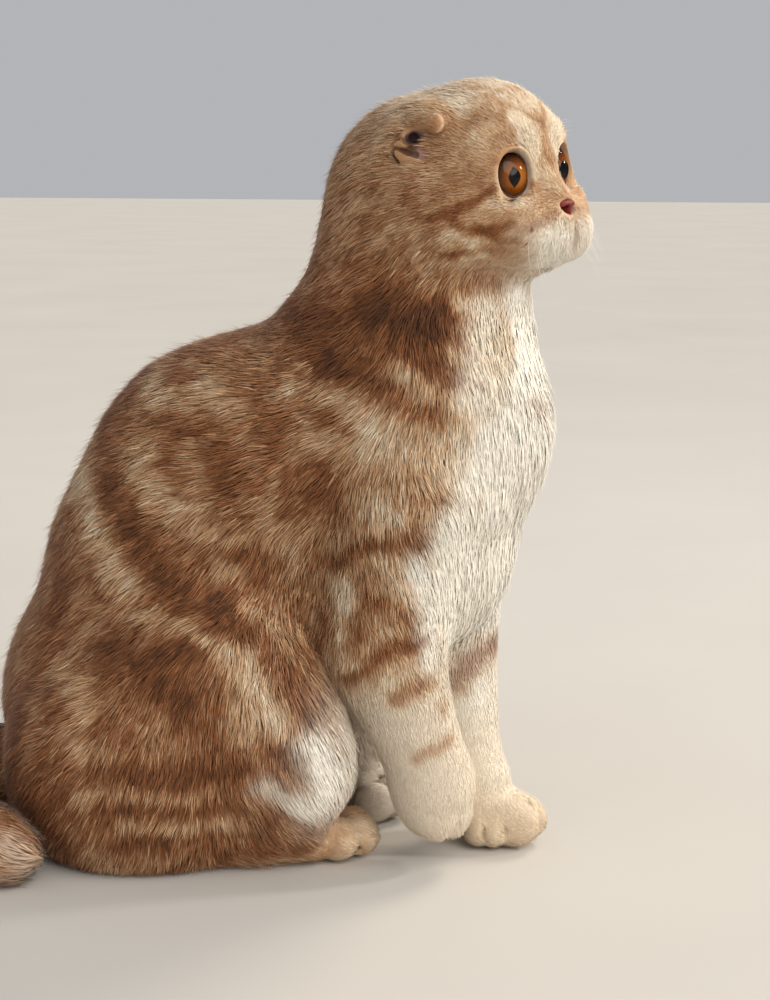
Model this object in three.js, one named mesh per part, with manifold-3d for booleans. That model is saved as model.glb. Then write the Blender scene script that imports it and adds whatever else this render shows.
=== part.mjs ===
// A Scottish fold cat that sits with its right forepaw raised, at life size, as a still model.
// Millimetres, +Z up. The cat faces +X with its left side to +Y, and the origin is on the floor at
// the middle of the flat that it sits on. Every solid follows the outer surface of the coat.
//
// Each part of the body is a soft union of balls and rounded cones. One surface is laid round
// neighbouring parts, so that they flow into each other, and is then cut where one part ends.
import * as THREE from "three";
import { triTable } from "three/addons/objects/MarchingCubes.js";
import { mergeVertices } from "three/addons/utils/BufferGeometryUtils.js";
import Module from "manifold-3d";

const wasm = await Module();
wasm.setup();

// Driving dimensions. All places below are measured from the floor under the middle of the trunk,
// which is SEAT_BACK in front of the origin.
const SEAT_BACK = 70;
const GAP = 0.3; // between two solids that meet
const CURVED_GAP = 0.45; // the same across a curved cut, whose two faces are flat-sided
const BODY_BLEND = 7; // how softly one part flows into the next
const TRUNK_BLEND = 9;
const LIMB_BLEND = 5;
const HEAD_BLEND = 4;
const HEAD_AT = [88, 0, 313.5]; // middle of the skull
const HEAD_YAW = -17; // degrees, turned to the cat's right
const HEAD_ROLL = 3.6; // degrees, right cheek lower
const HEAD_PITCH = -1; // degrees, nose up
const EYE_AT = [34.6, 18.9, 2.6]; // left eye, in the head's own axes
const EYE_RADII = [13.4, 12.2, 12.2]; // the clear front stands out along the gaze
const EYE_SPLAY = 14; // degrees that each eye looks outwards
const LIDS_AHEAD = 14.5; // how far in front of the eye's middle the lids' opening is centred
const LIDS_RADII = [9.5, 10.4, 10.4];
const ARM_FLATNESS = 0.82; // a foreleg's width for its depth
const NECK_FLATNESS = 0.95;
const FOOT_SPREAD = 1.1;

// Shapes are signed distances: functions of a point, negative inside.

// An ellipsoid with its middle at a point, and its three radii.
function ball(at, radii) {
  return (x, y, z) => {
    const [u, v, w] = [x - at[0], y - at[1], z - at[2]];
    const near = Math.hypot(u / radii[0], v / radii[1], w / radii[2]);
    const slope = Math.hypot(u / radii[0] ** 2, v / radii[1] ** 2, w / radii[2] ** 2);
    return slope < 1e-9 ? -Math.min(...radii) : (near * (near - 1)) / slope;
  };
}

// A rounded cone between two points, its radii there, and its width across for its depth.
function limb(from, to, radiusFrom, radiusTo, wide = 1) {
  const start = new THREE.Vector3(...from);
  const axis = new THREE.Vector3(...to).sub(start);
  const length = axis.length();
  axis.normalize();
  const across = new THREE.Vector3(0, 1, 0).addScaledVector(axis, -axis.y).normalize();
  const deep = new THREE.Vector3().crossVectors(axis, across);
  const slope = (radiusFrom - radiusTo) / length;
  const cosine = Math.sqrt(1 - slope * slope);
  const p = new THREE.Vector3();
  return (x, y, z) => {
    p.set(x, y, z).sub(start);
    const along = p.dot(axis);
    const out = Math.hypot(p.dot(across) / wide, p.dot(deep));
    const reach = along * cosine - out * slope;
    if (reach < 0) return Math.hypot(out, along) - radiusFrom;
    if (reach > cosine * length) return Math.hypot(out, along - length) - radiusTo;
    return out * cosine + along * slope - radiusFrom;
  };
}

// Rounded cones through a row of points, each [x, y, z, radius].
function chain(points, wide = 1) {
  return points.slice(1).map((to, i) => {
    const from = points[i];
    return limb(from.slice(0, 3), to.slice(0, 3), from[3], to[3], wide);
  });
}

// Shapes joined softly: the crease between two of them is filled over about the blend's length.
function joined(shapes, blend) {
  const found = new Float64Array(shapes.length);
  return (x, y, z) => {
    let low = Infinity;
    for (let i = 0; i < shapes.length; i++) {
      found[i] = shapes[i](x, y, z);
      low = Math.min(low, found[i]);
    }
    let sum = 0;
    for (const d of found) sum += Math.exp((low - d) / blend);
    return low - blend * Math.log(sum);
  };
}

// The first shape with the second one hollowed out of it, its rim rounded over the blend.
function hollowed(shape, tool, blend) {
  return (x, y, z) => {
    const a = shape(x, y, z);
    const b = -tool(x, y, z);
    const h = Math.max(blend - Math.abs(a - b), 0) / blend;
    return Math.max(a, b) + (h * h * blend) / 4;
  };
}

const mirrored = (shape) => (x, y, z) => shape(x, -y, z);
const bothSides = (shapes) => shapes.flatMap((shape) => [shape, mirrored(shape)]);

// The head, in its own axes: +X to the nose, +Y to the cat's left, +Z up
const headTurn = new THREE.Euler(
  ...[HEAD_ROLL, HEAD_PITCH, HEAD_YAW].map(THREE.MathUtils.degToRad),
  "ZYX",
);
const headFrame = new THREE.Matrix4()
  .makeTranslation(...HEAD_AT)
  .multiply(new THREE.Matrix4().makeRotationFromEuler(headTurn));

function inHead(shape) {
  const inverse = headFrame.clone().invert();
  const q = new THREE.Vector3();
  return (x, y, z) => {
    q.set(x, y, z).applyMatrix4(inverse);
    return shape(q.x, q.y, q.z);
  };
}

const skull = [
  ball([-4, 0, 2], [42, 42, 35]), // cranium
  ball([17, 0, 14], [30, 34, 29]), // forehead
  ...bothSides([
    ball([30, 18, 15], [14, 16, 12]), // brow over the eye
    ball([33, 25, 0], [12, 11, 13]), // rim of the eye, on its outer side
    ball([38, 23, -13], [13, 13, 12]), // below the eye
    ball([12, 28, -14], [30, 21, 24]), // cheek
    ball([-4, 22, -22], [30, 22, 18]), // jowl
    ball([49, 10, -24], [13, 13, 10]), // whisker pad
    ball([41, 23, -22], [13, 10, 10]), // side of the whisker pad
  ]),
  limb([36, 0, 8], [49, 0, -11], 10, 9), // bridge of the nose
  ball([43, 0, -32], [13, 12, 8]), // chin
  limb([4, 0, -26], [36, 0, -28], 19, 12), // lower jaw
];
const noseLeather = [ball([57.5, 0, -12.8], [4, 6.2, 3.6]), ball([58, 0, -16.5], [3.6, 3.2, 4])];

// A small ear, folded forward and down over its opening: the flap, the rim behind it, the hollow.
const earFold = hollowed(
  joined([ball([10, 38, 27.5], [13, 7.5, 9]), ball([-1, 43, 16.5], [8.5, 5.5, 10])], 2.5),
  ball([7, 49, 18], [6, 8, 5]),
  2,
);

// The neck and trunk
const trunk = [
  limb([72, -2, 298], [72, 0, 250], 41, 52, NECK_FLATNESS),
  ball([74, 0, 200], [62, 54, 62]), // chest
  ball([14, 0, 182], [66, 56, 62]), // shoulders and withers
  ball([-23, 0, 171], [63, 55, 63]), // upper back
  ball([33, 0, 237], [21, 34, 21]), // nape
  ball([-38, 0, 128], [72, 60, 66]), // lower back
  ball([-70, 0, 64], [64, 68, 68]), // rump
  ball([12, 0, 94], [62, 48, 52]), // belly
  ball([70, 0, 142], [48, 38, 46]), // brisket, between the forelegs
];

// The right forepaw hangs a little above the floor, and the left one stands on it.
const foreleg = {
  right: [
    limb([78, -36, 172], [66, -37, 112], 32, 27, ARM_FLATNESS), // shoulder to elbow
    limb([68, -36, 100], [87, -31, 46], 25, 18.5, ARM_FLATNESS), // elbow to wrist
    ball([88, -30, 34], [18.5, 16, 21.5]), // paw
  ],
  left: [
    limb([74, 36, 172], [76, 34, 112], 32, 24, ARM_FLATNESS),
    limb([82, 28, 104], [96, 13, 36], 22, 14.5, ARM_FLATNESS),
    ball([99, 12, 24], [15, 15, 18]), // wrist
    ball([111, 10, 13], [22, 16.5, 14]), // paw
  ],
};
const haunch = [
  ball([-12, 54, 74], [56, 31, 53]), // thigh
  ball([-52, 60, 42], [57, 37, 52]), // buttock
  ball([20, 50, 50], [37, 24, 36]), // knee and shin
];
const hindFoot = [[-52, 64, 14, 14], [6, 47, 12, 12], [52, 33, 13, 13]];

// The tail leaves the rump on the floor and curls round to the cat's right.
const tail = [
  [-118, 2, 24, 22],
  [-150, -10, 19, 19],
  [-168, -40, 17.5, 18.5],
  [-160, -74, 17.5, 18.5],
  [-134, -96, 17.5, 18.5],
  [-102, -106, 17, 17.5],
  [-90, -106, 15, 14.5],
];

const bodyParts = {
  trunk: joined(trunk, TRUNK_BLEND),
  head: inHead(joined(skull, HEAD_BLEND)),
  forelegRight: joined(foreleg.right, LIMB_BLEND),
  forelegLeft: joined(foreleg.left, LIMB_BLEND),
  haunchRight: mirrored(joined(haunch, BODY_BLEND)),
  haunchLeft: joined(haunch, BODY_BLEND),
  footRight: mirrored(joined(chain(hindFoot, FOOT_SPREAD), LIMB_BLEND)),
  footLeft: joined(chain(hindFoot, FOOT_SPREAD), LIMB_BLEND),
  tail: joined(chain(tail), LIMB_BLEND),
};
// A part flows into these, and only touches the others.
const flowsInto = {
  trunk: ["head", "forelegRight", "forelegLeft", "haunchRight", "haunchLeft", "tail"],
  head: ["trunk"],
  forelegRight: ["trunk"],
  forelegLeft: ["trunk"],
  haunchRight: ["trunk", "footRight"],
  haunchLeft: ["trunk", "footLeft"],
  footRight: ["haunchRight"],
  footLeft: ["haunchLeft"],
  tail: ["trunk"],
};
// Where each part's surface is laid, the size of its facets and of those of its hidden cut.
const TRUNK_BOX = { low: [-170, -110, -20], high: [160, 110, 360], facet: 20 };
const boxes = {
  forelegRight: { low: [15, -85, 5], high: [130, 20, 232], facet: 12, cut: 26 },
  forelegLeft: { low: [15, -20, -12], high: [150, 85, 232], facet: 12, cut: 26 },
  haunchRight: { low: [-130, -112, -25], high: [80, 12, 150], facet: 18, cut: 32 },
  haunchLeft: { low: [-130, -12, -25], high: [80, 112, 150], facet: 18, cut: 32 },
  footRight: { low: [-92, -100, -12], high: [84, -3, 42], facet: 12, cut: 24 },
  footLeft: { low: [-92, 3, -12], high: [84, 100, 42], facet: 12, cut: 24 },
  tail: { low: [-205, -140, -10], high: [-62, 45, 62], facet: 12, cut: 24 },
  head: { low: [15, -75, 235], high: [165, 75, 372], facet: 9, cut: 26 },
};
const NOSE_BOX = { low: [116, -45, 284], high: [156, 0, 314], facet: 3 };
const EAR_BOXES = {
  right: { low: [60, -75, 310], high: [130, -20, 366], facet: 5 },
  left: { low: [60, 10, 310], high: [130, 70, 370], facet: 5 },
};

// Surfaces

// One closed surface round what is inside a shape and a box, in facets of about the given size.
function surfaceOf(shape, { low, high, facet }) {
  const [nx, ny, nz] = [0, 1, 2].map((i) => Math.ceil((high[i] - low[i]) / facet) + 1);
  const at = (n, i) => low[n] + i * facet;
  const id = (i, j, k) => i + nx * (j + ny * k);
  const values = new Float64Array(nx * ny * nz);
  for (let k = 0; k < nz; k++)
    for (let j = 0; j < ny; j++)
      for (let i = 0; i < nx; i++) {
        const onWall = !i || !j || !k || i === nx - 1 || j === ny - 1 || k === nz - 1;
        const distance = shape(at(0, i), at(1, j), at(2, k));
        values[id(i, j, k)] = onWall ? Math.max(distance, facet / 2) : distance;
      }

  const corners = [0, 1, 2, 3, 4, 5, 6, 7].map((c) => [(c ^ (c >> 1)) & 1, (c >> 1) & 1, c >> 2]);
  const edges = [0, 1, 2, 3, 4, 5, 6, 7].map((e) => [e, (e & 4) + ((e + 1) & 3)]);
  for (let e = 0; e < 4; e++) edges.push([e, e + 4]);
  const places = [];
  const faces = [];
  const made = new Map();
  const vertexOn = (i, j, k, edge) => {
    const ends = edges[edge].map((c) => [i + corners[c][0], j + corners[c][1], k + corners[c][2]]);
    const [a, b] = ends.map((end) => id(...end));
    const key = Math.min(a, b) * values.length + Math.max(a, b);
    if (!made.has(key)) {
      const t = THREE.MathUtils.clamp(values[a] / (values[a] - values[b]), 0.02, 0.98);
      made.set(key, places.length / 3);
      for (let n = 0; n < 3; n++) places.push(at(n, ends[0][n] + t * (ends[1][n] - ends[0][n])));
    }
    return made.get(key);
  };
  for (let k = 0; k < nz - 1; k++)
    for (let j = 0; j < ny - 1; j++)
      for (let i = 0; i < nx - 1; i++) {
        let kind = 0;
        corners.forEach(([u, v, w], c) => {
          if (values[id(i + u, j + v, k + w)] < 0) kind |= 1 << c;
        });
        for (let n = kind * 16; triTable[n] >= 0; n += 3)
          faces.push(...[2, 1, 0].map((m) => vertexOn(i, j, k, triTable[n + m])));
      }

  const geometry = new THREE.BufferGeometry();
  geometry.setAttribute("position", new THREE.Float32BufferAttribute(places, 3));
  geometry.setIndex(faces);
  evenOut(geometry, shape, { low, high, facet });
  return geometry;
}

// Makes the facets alike in size and puts their corners on the shape. Those at the walls stay.
function evenOut(geometry, shape, { low, high, facet }) {
  const ROUNDS = 4;
  const SHARE = 0.6; // how far a corner moves to the middle of its neighbours in each round
  const p = geometry.getAttribute("position");
  const index = geometry.index.array;
  const neighbours = Array.from({ length: p.count }, () => new Set());
  for (let n = 0; n < index.length; n += 3)
    for (let m = 0; m < 3; m++) {
      const [a, b] = [index[n + m], index[n + ((m + 1) % 3)]];
      neighbours[a].add(b);
      neighbours[b].add(a);
    }
  const placeOf = (i) => [p.getX(i), p.getY(i), p.getZ(i)];
  const free = neighbours.map((_, i) =>
    placeOf(i).every((v, n) => v > low[n] + facet && v < high[n] - facet),
  );
  for (let round = 0; round < ROUNDS; round++) {
    const moved = neighbours.map((near, i) => {
      const here = placeOf(i);
      if (!free[i]) return here;
      const middle = [0, 0, 0];
      for (const j of near) placeOf(j).forEach((v, n) => (middle[n] += v / near.size));
      return ontoSurface(shape, here.map((v, n) => v + SHARE * (middle[n] - v)));
    });
    moved.forEach((place, i) => p.setXYZ(i, ...place));
  }
}

// The point of a shape's surface that is close to a point.
function ontoSurface(shape, point) {
  const STEP = 0.05;
  let [x, y, z] = point;
  for (let n = 0; n < 3; n++) {
    const gradient = [
      (shape(x + STEP, y, z) - shape(x - STEP, y, z)) / (2 * STEP),
      (shape(x, y + STEP, z) - shape(x, y - STEP, z)) / (2 * STEP),
      (shape(x, y, z + STEP) - shape(x, y, z - STEP)) / (2 * STEP),
    ];
    const steepness = gradient[0] ** 2 + gradient[1] ** 2 + gradient[2] ** 2;
    if (steepness < 0.05) break;
    const move = shape(x, y, z) / steepness;
    x -= move * gradient[0];
    y -= move * gradient[1];
    z -= move * gradient[2];
  }
  return [x, y, z];
}

// A closed surface with each corner moved out along its normal.
function grown(geometry, by) {
  const out = geometry.clone();
  out.computeVertexNormals();
  const p = out.getAttribute("position");
  const n = out.getAttribute("normal");
  for (let i = 0; i < p.count; i++)
    p.setXYZ(i, p.getX(i) + by * n.getX(i), p.getY(i) + by * n.getY(i), p.getZ(i) + by * n.getZ(i));
  return out;
}

// Solids, which can be joined and cut
function solid(geometry) {
  const bare = geometry.clone();
  bare.deleteAttribute("normal");
  bare.deleteAttribute("uv");
  const merged = mergeVertices(bare, 1e-4);
  return new wasm.Manifold(
    new wasm.Mesh({
      numProp: 3,
      vertProperties: new Float32Array(merged.getAttribute("position").array),
      triVerts: new Uint32Array(merged.index.array),
    }),
  );
}

function geometryOf(made) {
  const { vertProperties, triVerts, numProp } = made.getMesh();
  const places = [];
  for (let i = 0; i < vertProperties.length; i += numProp)
    places.push(vertProperties[i], vertProperties[i + 1], vertProperties[i + 2]);
  const geometry = new THREE.BufferGeometry();
  geometry.setAttribute("position", new THREE.Float32BufferAttribute(places, 3));
  geometry.setIndex([...triVerts]);
  return geometry;
}

// The largest body of a solid: a cut can leave slivers.
const largest = (made) => made.decompose().reduce((a, b) => (b.volume() > a.volume() ? b : a));

// Everything that lies further than half the gap to one side of a plane.
function halfSpace(point, facing) {
  const SIZE = 1200;
  const box = new THREE.BoxGeometry(SIZE, SIZE, SIZE).translate(0, 0, (SIZE + GAP) / 2);
  const up = new THREE.Vector3(0, 0, 1);
  const turn = new THREE.Quaternion().setFromUnitVectors(up, new THREE.Vector3(...facing).normalize());
  return solid(box.applyQuaternion(turn).translate(...point));
}

// Parts a solid at a plane: what lies on the side that the plane faces, and the rest.
function parted(made, { at, facing }) {
  const behind = facing.map((v) => -v);
  return [made.intersect(halfSpace(at, facing)), made.intersect(halfSpace(at, behind))];
}

// The body, cut where one part is as near as the next

// The space that is nearer to one part than to any other.
function zoneOf(name, { low, high, cut }) {
  const others = Object.keys(bodyParts).filter((other) => other !== name);
  const zone = (x, y, z) => {
    const nearest = Math.min(...others.map((other) => bodyParts[other](x, y, z)));
    return bodyParts[name](x, y, z) - nearest;
  };
  return surfaceOf(zone, { low, high, facet: cut });
}

function coatOf(name) {
  return joined([name, ...flowsInto[name]].map((part) => bodyParts[part]), BODY_BLEND);
}

const floor = solid(new THREE.BoxGeometry(1200, 1200, 400).translate(0, 0, -200));
const pieces = {};
let trunkSolid = solid(surfaceOf(coatOf("trunk"), TRUNK_BOX));
const taken = [];
for (const [name, box] of Object.entries(boxes)) {
  const zone = zoneOf(name, box);
  const whole = solid(surfaceOf(coatOf(name), box)).intersect(solid(zone)).subtract(floor);
  pieces[name] = taken.reduce((made, tool) => made.subtract(tool), whole);
  const tool = solid(grown(zone, CURVED_GAP));
  trunkSolid = trunkSolid.subtract(tool);
  taken.push(tool);
}
trunkSolid = trunkSolid.subtract(floor);

// Eyes, nose leather and ears, each let into the head
function onGaze(side, radii, ahead) {
  const geometry = new THREE.SphereGeometry(1, 14, 9).rotateZ(Math.PI / 2).scale(...radii);
  geometry.translate(ahead, 0, 0).rotateZ(THREE.MathUtils.degToRad(side * EYE_SPLAY));
  const [x, y, z] = EYE_AT;
  return solid(geometry.translate(x, side * y, z).applyMatrix4(headFrame));
}
const eyes = { right: onGaze(-1, EYE_RADII, 0), left: onGaze(1, EYE_RADII, 0) };
const nose = surfaceOf(inHead(joined(noseLeather, 1.2)), NOSE_BOX);
const ears = {
  right: surfaceOf(inHead(mirrored(earFold)), EAR_BOXES.right),
  left: surfaceOf(inHead(earFold), EAR_BOXES.left),
};

let headSolid = pieces.head;
for (const side of [-1, 1]) {
  const socket = onGaze(side, EYE_RADII.map((r) => r + GAP), 0);
  headSolid = headSolid.subtract(socket).subtract(onGaze(side, LIDS_RADII, LIDS_AHEAD));
}
for (const inset of [nose, ears.right, ears.left])
  headSolid = headSolid.subtract(solid(grown(inset, GAP)));

// Plane cuts, each through a point and facing the part named first
const cuts = {
  muzzle: { at: [40, 0, -16], facing: [1, 0, -0.35] }, // in the head's own axes
  neck: { at: [70, 0, 240], facing: [0.25, 0, 1] },
  chest: { at: [-8, 0, 160], facing: [1, 0, 0.35] },
  rump: { at: [-52, 0, 110], facing: [-1, 0, -0.75] },
  upperArmRight: { at: [66, -37, 108], facing: [0.1, 0, 1] },
  pawRight: { at: [86, -31, 50], facing: [0.3, 0.1, -1] },
  upperArmLeft: { at: [80, 34, 108], facing: [0, 0, 1] },
  pawLeft: { at: [98, 13, 32], facing: [0.3, 0, -1] },
  tailTip: { at: [-168, -44, 18], facing: [0.3, -1, 0] },
};
const muzzleCut = {
  at: new THREE.Vector3(...cuts.muzzle.at).applyMatrix4(headFrame).toArray(),
  facing: new THREE.Vector3(...cuts.muzzle.facing).transformDirection(headFrame).toArray(),
};
const [muzzle, head] = parted(headSolid, muzzleCut);
const [neck, belowNeck] = parted(trunkSolid, cuts.neck);
const [chest, behindChest] = parted(belowNeck, cuts.chest);
const [rump, belly] = parted(behindChest, cuts.rump);
const [upperArmRight, lowerRight] = parted(pieces.forelegRight, cuts.upperArmRight);
const [pawRight, forearmRight] = parted(lowerRight, cuts.pawRight);
const [upperArmLeft, lowerLeft] = parted(pieces.forelegLeft, cuts.upperArmLeft);
const [pawLeft, forearmLeft] = parted(lowerLeft, cuts.pawLeft);
const [tailTip, tailBase] = parted(pieces.tail, cuts.tailTip);

// Materials and nodes
const redCoat = new THREE.MeshStandardMaterial({ color: 0xb9895c, roughness: 0.9, metalness: 0 });
const creamCoat = new THREE.MeshStandardMaterial({ color: 0xe6d3b4, roughness: 0.9, metalness: 0 });
const eyeFinish = new THREE.MeshStandardMaterial({ color: 0xb06a1c, roughness: 0.1, metalness: 0 });
const noseSkin = new THREE.MeshStandardMaterial({ color: 0xa8504a, roughness: 0.5, metalness: 0 });

const nodes = {
  head: [head, redCoat],
  muzzle: [muzzle, creamCoat],
  nose: [solid(nose), noseSkin],
  ear_right: [solid(ears.right), redCoat],
  ear_left: [solid(ears.left), redCoat],
  eye_right: [eyes.right, eyeFinish],
  eye_left: [eyes.left, eyeFinish],
  neck: [neck, redCoat],
  chest: [chest, creamCoat],
  belly: [belly, redCoat],
  rump: [rump, redCoat],
  upper_arm_right: [upperArmRight, redCoat],
  forearm_right: [forearmRight, creamCoat],
  forepaw_right: [pawRight, creamCoat],
  upper_arm_left: [upperArmLeft, redCoat],
  forearm_left: [forearmLeft, creamCoat],
  forepaw_left: [pawLeft, creamCoat],
  thigh_right: [pieces.haunchRight, redCoat],
  thigh_left: [pieces.haunchLeft, redCoat],
  hind_foot_right: [pieces.footRight, creamCoat],
  hind_foot_left: [pieces.footLeft, creamCoat],
  tail_base: [tailBase, redCoat],
  tail_tip: [tailTip, creamCoat],
};
const cat = new THREE.Group();
for (const [name, [made, finish]] of Object.entries(nodes)) {
  const mesh = new THREE.Mesh(geometryOf(largest(made)), finish);
  mesh.name = name;
  cat.add(mesh);
}
cat.position.x = SEAT_BACK;

export default cat;
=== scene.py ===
"""The looks of a seated scottish fold cat with its right forepaw raised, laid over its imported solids.

Sizes and places in the classes are millimetres in the cat's own axes: +X forwards, +Y to its left, +Z up,
from the floor under the middle of the trunk. Meshes are written in metres in the row's frame. The solids
follow the tips of the coat, so the skin lies inside them by the coat's depth and the tufts fill the rest.
"""

import logging
import math
from dataclasses import dataclass, field
from enum import Enum, IntEnum
from typing import Callable, Sequence

import bpy
import numpy as np
import openvdb
from mathutils import Matrix, Vector

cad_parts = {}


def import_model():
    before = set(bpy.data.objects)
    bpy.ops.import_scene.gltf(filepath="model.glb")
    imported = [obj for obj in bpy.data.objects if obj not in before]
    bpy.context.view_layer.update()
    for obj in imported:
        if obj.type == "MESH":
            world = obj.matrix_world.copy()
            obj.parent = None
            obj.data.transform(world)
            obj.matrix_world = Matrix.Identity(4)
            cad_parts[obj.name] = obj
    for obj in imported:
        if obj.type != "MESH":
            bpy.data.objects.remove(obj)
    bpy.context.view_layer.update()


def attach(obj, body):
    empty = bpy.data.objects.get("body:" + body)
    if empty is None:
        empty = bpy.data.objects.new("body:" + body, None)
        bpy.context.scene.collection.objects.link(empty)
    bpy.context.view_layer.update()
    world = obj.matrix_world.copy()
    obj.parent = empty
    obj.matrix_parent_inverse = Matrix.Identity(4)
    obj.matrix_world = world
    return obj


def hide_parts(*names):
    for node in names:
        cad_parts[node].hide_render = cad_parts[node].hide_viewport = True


MM = 0.001
SEAT_BACK = 70.0  # how far the middle of the trunk is in front of the row's origin
SEED = 7
UV_NAME = "OFBake"
# a colour for each vertex: how red and how white, and a third number, which on the nose leather is painted
# shade in the nostrils
MARKINGS_AND_SHADE = "markings"
# a number for each vertex: on the tufts their own lightness, on the skin painted shade in its hollows and
# furrows
TONE_AND_SHADE = "strand"
EYE_PLANE = "EyePlane"
PLANE_SIDE = 40.0  # mm, the side of the square that the eye's own map covers


class Side(Enum):
    """The cat's two sides, by the sign of Y."""

    RIGHT = -1
    LEFT = 1


Piece = bpy.types.Object
Material = bpy.types.Material
Points = np.ndarray
Field = Callable[[Points], np.ndarray]
Triple = tuple[float, float, float]

log = logging.getLogger("cat")


def in_row(points: Points) -> Points:
    """Places in the cat's millimetres as metres in the row's frame."""
    return (np.asarray(points, np.float64) + (SEAT_BACK, 0.0, 0.0)) * MM


def unit(vectors: Points) -> Points:
    """Vectors scaled to length 1."""
    return vectors / np.maximum(np.linalg.norm(vectors, axis=-1, keepdims=True), 1e-9)


def one_side(points: Points, side: int = 1) -> Points:
    """Points with the cat's two sides laid over each other, on the left (1) or on the right (-1)."""
    return np.stack([points[:, 0], side * np.abs(points[:, 1]), points[:, 2]], 1)


def smooth(value: np.ndarray, low: float, high: float) -> np.ndarray:
    """0 for values below low, 1 above high, and a smooth rise between them."""
    t = np.clip((value - low) / (high - low), 0.0, 1.0)
    return t * t * (3.0 - 2.0 * t)


# Shapes: functions from points to a distance that is negative inside


def ball(at: Sequence[float], radii: Sequence[float]) -> Field:
    """An ellipsoid.

    Args:
        at: Its middle.
        radii: Its three radii.

    Returns:
        Its distance field.
    """
    middle, size = np.array(at, np.float32), np.array(radii, np.float32)

    def distance(p: Points) -> np.ndarray:
        """How far each point is from the ellipsoid."""
        q = p - middle
        near = np.sqrt(((q / size) ** 2).sum(1))
        slope = np.sqrt(((q / size**2) ** 2).sum(1))
        return near * (near - 1.0) / np.maximum(slope, 1e-6)

    return distance


def limb(start: Triple, end: Triple, first: float, last: float, wide: float = 1.0) -> Field:
    """A rounded cone between two points.

    Args:
        start: Middle of its first end.
        end: Middle of its other end.
        first: Radius at the first end.
        last: Radius at the other end.
        wide: Its width across the cat for its depth.

    Returns:
        Its distance field.
    """
    low = np.array(start, np.float32)
    axis = np.array(end, np.float32) - low
    length = float(np.linalg.norm(axis))
    axis /= length
    across = unit(np.array([0.0, 1.0, 0.0], np.float32) - axis[1] * axis)
    deep = np.cross(axis, across)
    slope = (first - last) / length
    cosine = math.sqrt(1.0 - slope * slope)

    def distance(p: Points) -> np.ndarray:
        """How far each point is from the cone."""
        q = p - low
        along = q @ axis
        out = np.hypot((q @ across) / wide, q @ deep)
        reach = along * cosine - out * slope
        body = out * cosine + along * slope - first
        body = np.where(reach > cosine * length, np.hypot(out, along - length) - last, body)
        return np.where(reach < 0, np.hypot(out, along) - first, body)

    return distance


def chain(points: Sequence[Sequence[float]], wide: float = 1.0) -> list[Field]:
    """Rounded cones through a row of points, each x, y, z and radius."""
    pairs = zip(points, points[1:])
    return [limb(a[:3], b[:3], a[3], b[3], wide) for a, b in pairs]


def softly(distances: Sequence[np.ndarray], blend: float) -> np.ndarray:
    """Distances to several shapes as the distance to their soft union.

    Args:
        distances: One array for each shape.
        blend: About the length over which a crease is filled.

    Returns:
        One array.
    """
    low = np.minimum.reduce(list(distances))
    total = np.zeros_like(low)
    for d in distances:
        total += np.exp((low - d) / blend)
    return low - blend * np.log(total)


def joined(shapes: Sequence[Field], blend: float) -> Field:
    """The soft union of shapes."""
    return lambda p: softly([shape(p) for shape in shapes], blend)


def nearest(shapes: Sequence[Field], p: Points) -> np.ndarray:
    """The distance to the nearest of several shapes."""
    return np.minimum.reduce([shape(p) for shape in shapes])


def hollow(solid: np.ndarray, tool: np.ndarray, blend: float) -> np.ndarray:
    """The distances to a shape with a tool hollowed out of it, the rim rounded as far as the blend."""
    h = np.maximum(blend - np.abs(solid + tool), 0.0) / blend
    return np.maximum(solid, -tool) + h * h * blend / 4.0


def mirrored(shape: Field) -> Field:
    """A shape on the other side of the cat."""
    turn = np.array([1.0, -1.0, 1.0], np.float32)
    return lambda p: shape(p * turn)


def both_sides(shapes: Sequence[Field]) -> list[Field]:
    """Each shape and its mirror image."""
    return [made for shape in shapes for made in (shape, mirrored(shape))]


class Noise:
    """Smooth random numbers in space, the same on every run."""

    SIDE = 48

    def __init__(self, size: float, seed: int, channels: int = 1) -> None:
        """Makes the lattice.

        Args:
            size: Distance between its knots.
            seed: Which noise it is.
            channels: How many numbers it gives for each point.
        """
        shape = (self.SIDE,) * 3 + (channels,)
        self.size = size
        self.knots = np.random.default_rng(SEED + seed).uniform(-1, 1, shape).astype(np.float32)

    def __call__(self, p: Points) -> np.ndarray:
        """Numbers from -1 to 1 for each point: one column for each channel, or flat if there is one."""
        at = p / self.size + 1000.0
        low = np.floor(at).astype(np.int64)
        t = (at - low).astype(np.float32)
        t = t * t * (3.0 - 2.0 * t)
        total = np.zeros((len(p), self.knots.shape[3]), np.float32)
        for corner in range(8):
            step = np.array([corner & 1, corner >> 1 & 1, corner >> 2])
            share = np.where(step, t, 1.0 - t).prod(1)
            i, j, k = ((low + step) % self.SIDE).T
            total += share[:, None] * self.knots[i, j, k]
        return total[:, 0] if total.shape[1] == 1 else total


# The body


class Part(IntEnum):
    """The parts of the body, which flow into each other."""

    TRUNK = 0
    HEAD = 1
    FORELEG_RIGHT = 2
    FORELEG_LEFT = 3
    HAUNCH_RIGHT = 4
    HAUNCH_LEFT = 5
    FOOT_RIGHT = 6
    FOOT_LEFT = 7
    TAIL = 8


@dataclass(frozen=True)
class HeadAxes:
    """Where the head is and how it is turned. Its own axes are +X to the nose, +Y to its left, +Z up."""

    at: Triple = (88.0, 0.0, 313.5)
    yaw: float = -17.0
    pitch: float = -1.0
    roll: float = 3.6

    def turn(self) -> np.ndarray:
        """The rotation that carries the head's axes to the body's."""
        turns = [(self.yaw, "Z"), (self.pitch, "Y"), (self.roll, "X")]
        made = [Matrix.Rotation(math.radians(angle), 3, axis) for angle, axis in turns]
        return np.array(made[0] @ made[1] @ made[2], np.float32)

    def inwards(self, p: Points) -> Points:
        """Points of the body in the head's axes."""
        return (p - np.array(self.at, np.float32)) @ self.turn()

    def outwards(self, q: Points) -> Points:
        """Points in the head's axes as points of the body."""
        return np.asarray(q, np.float32) @ self.turn().T + np.array(self.at, np.float32)


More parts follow.
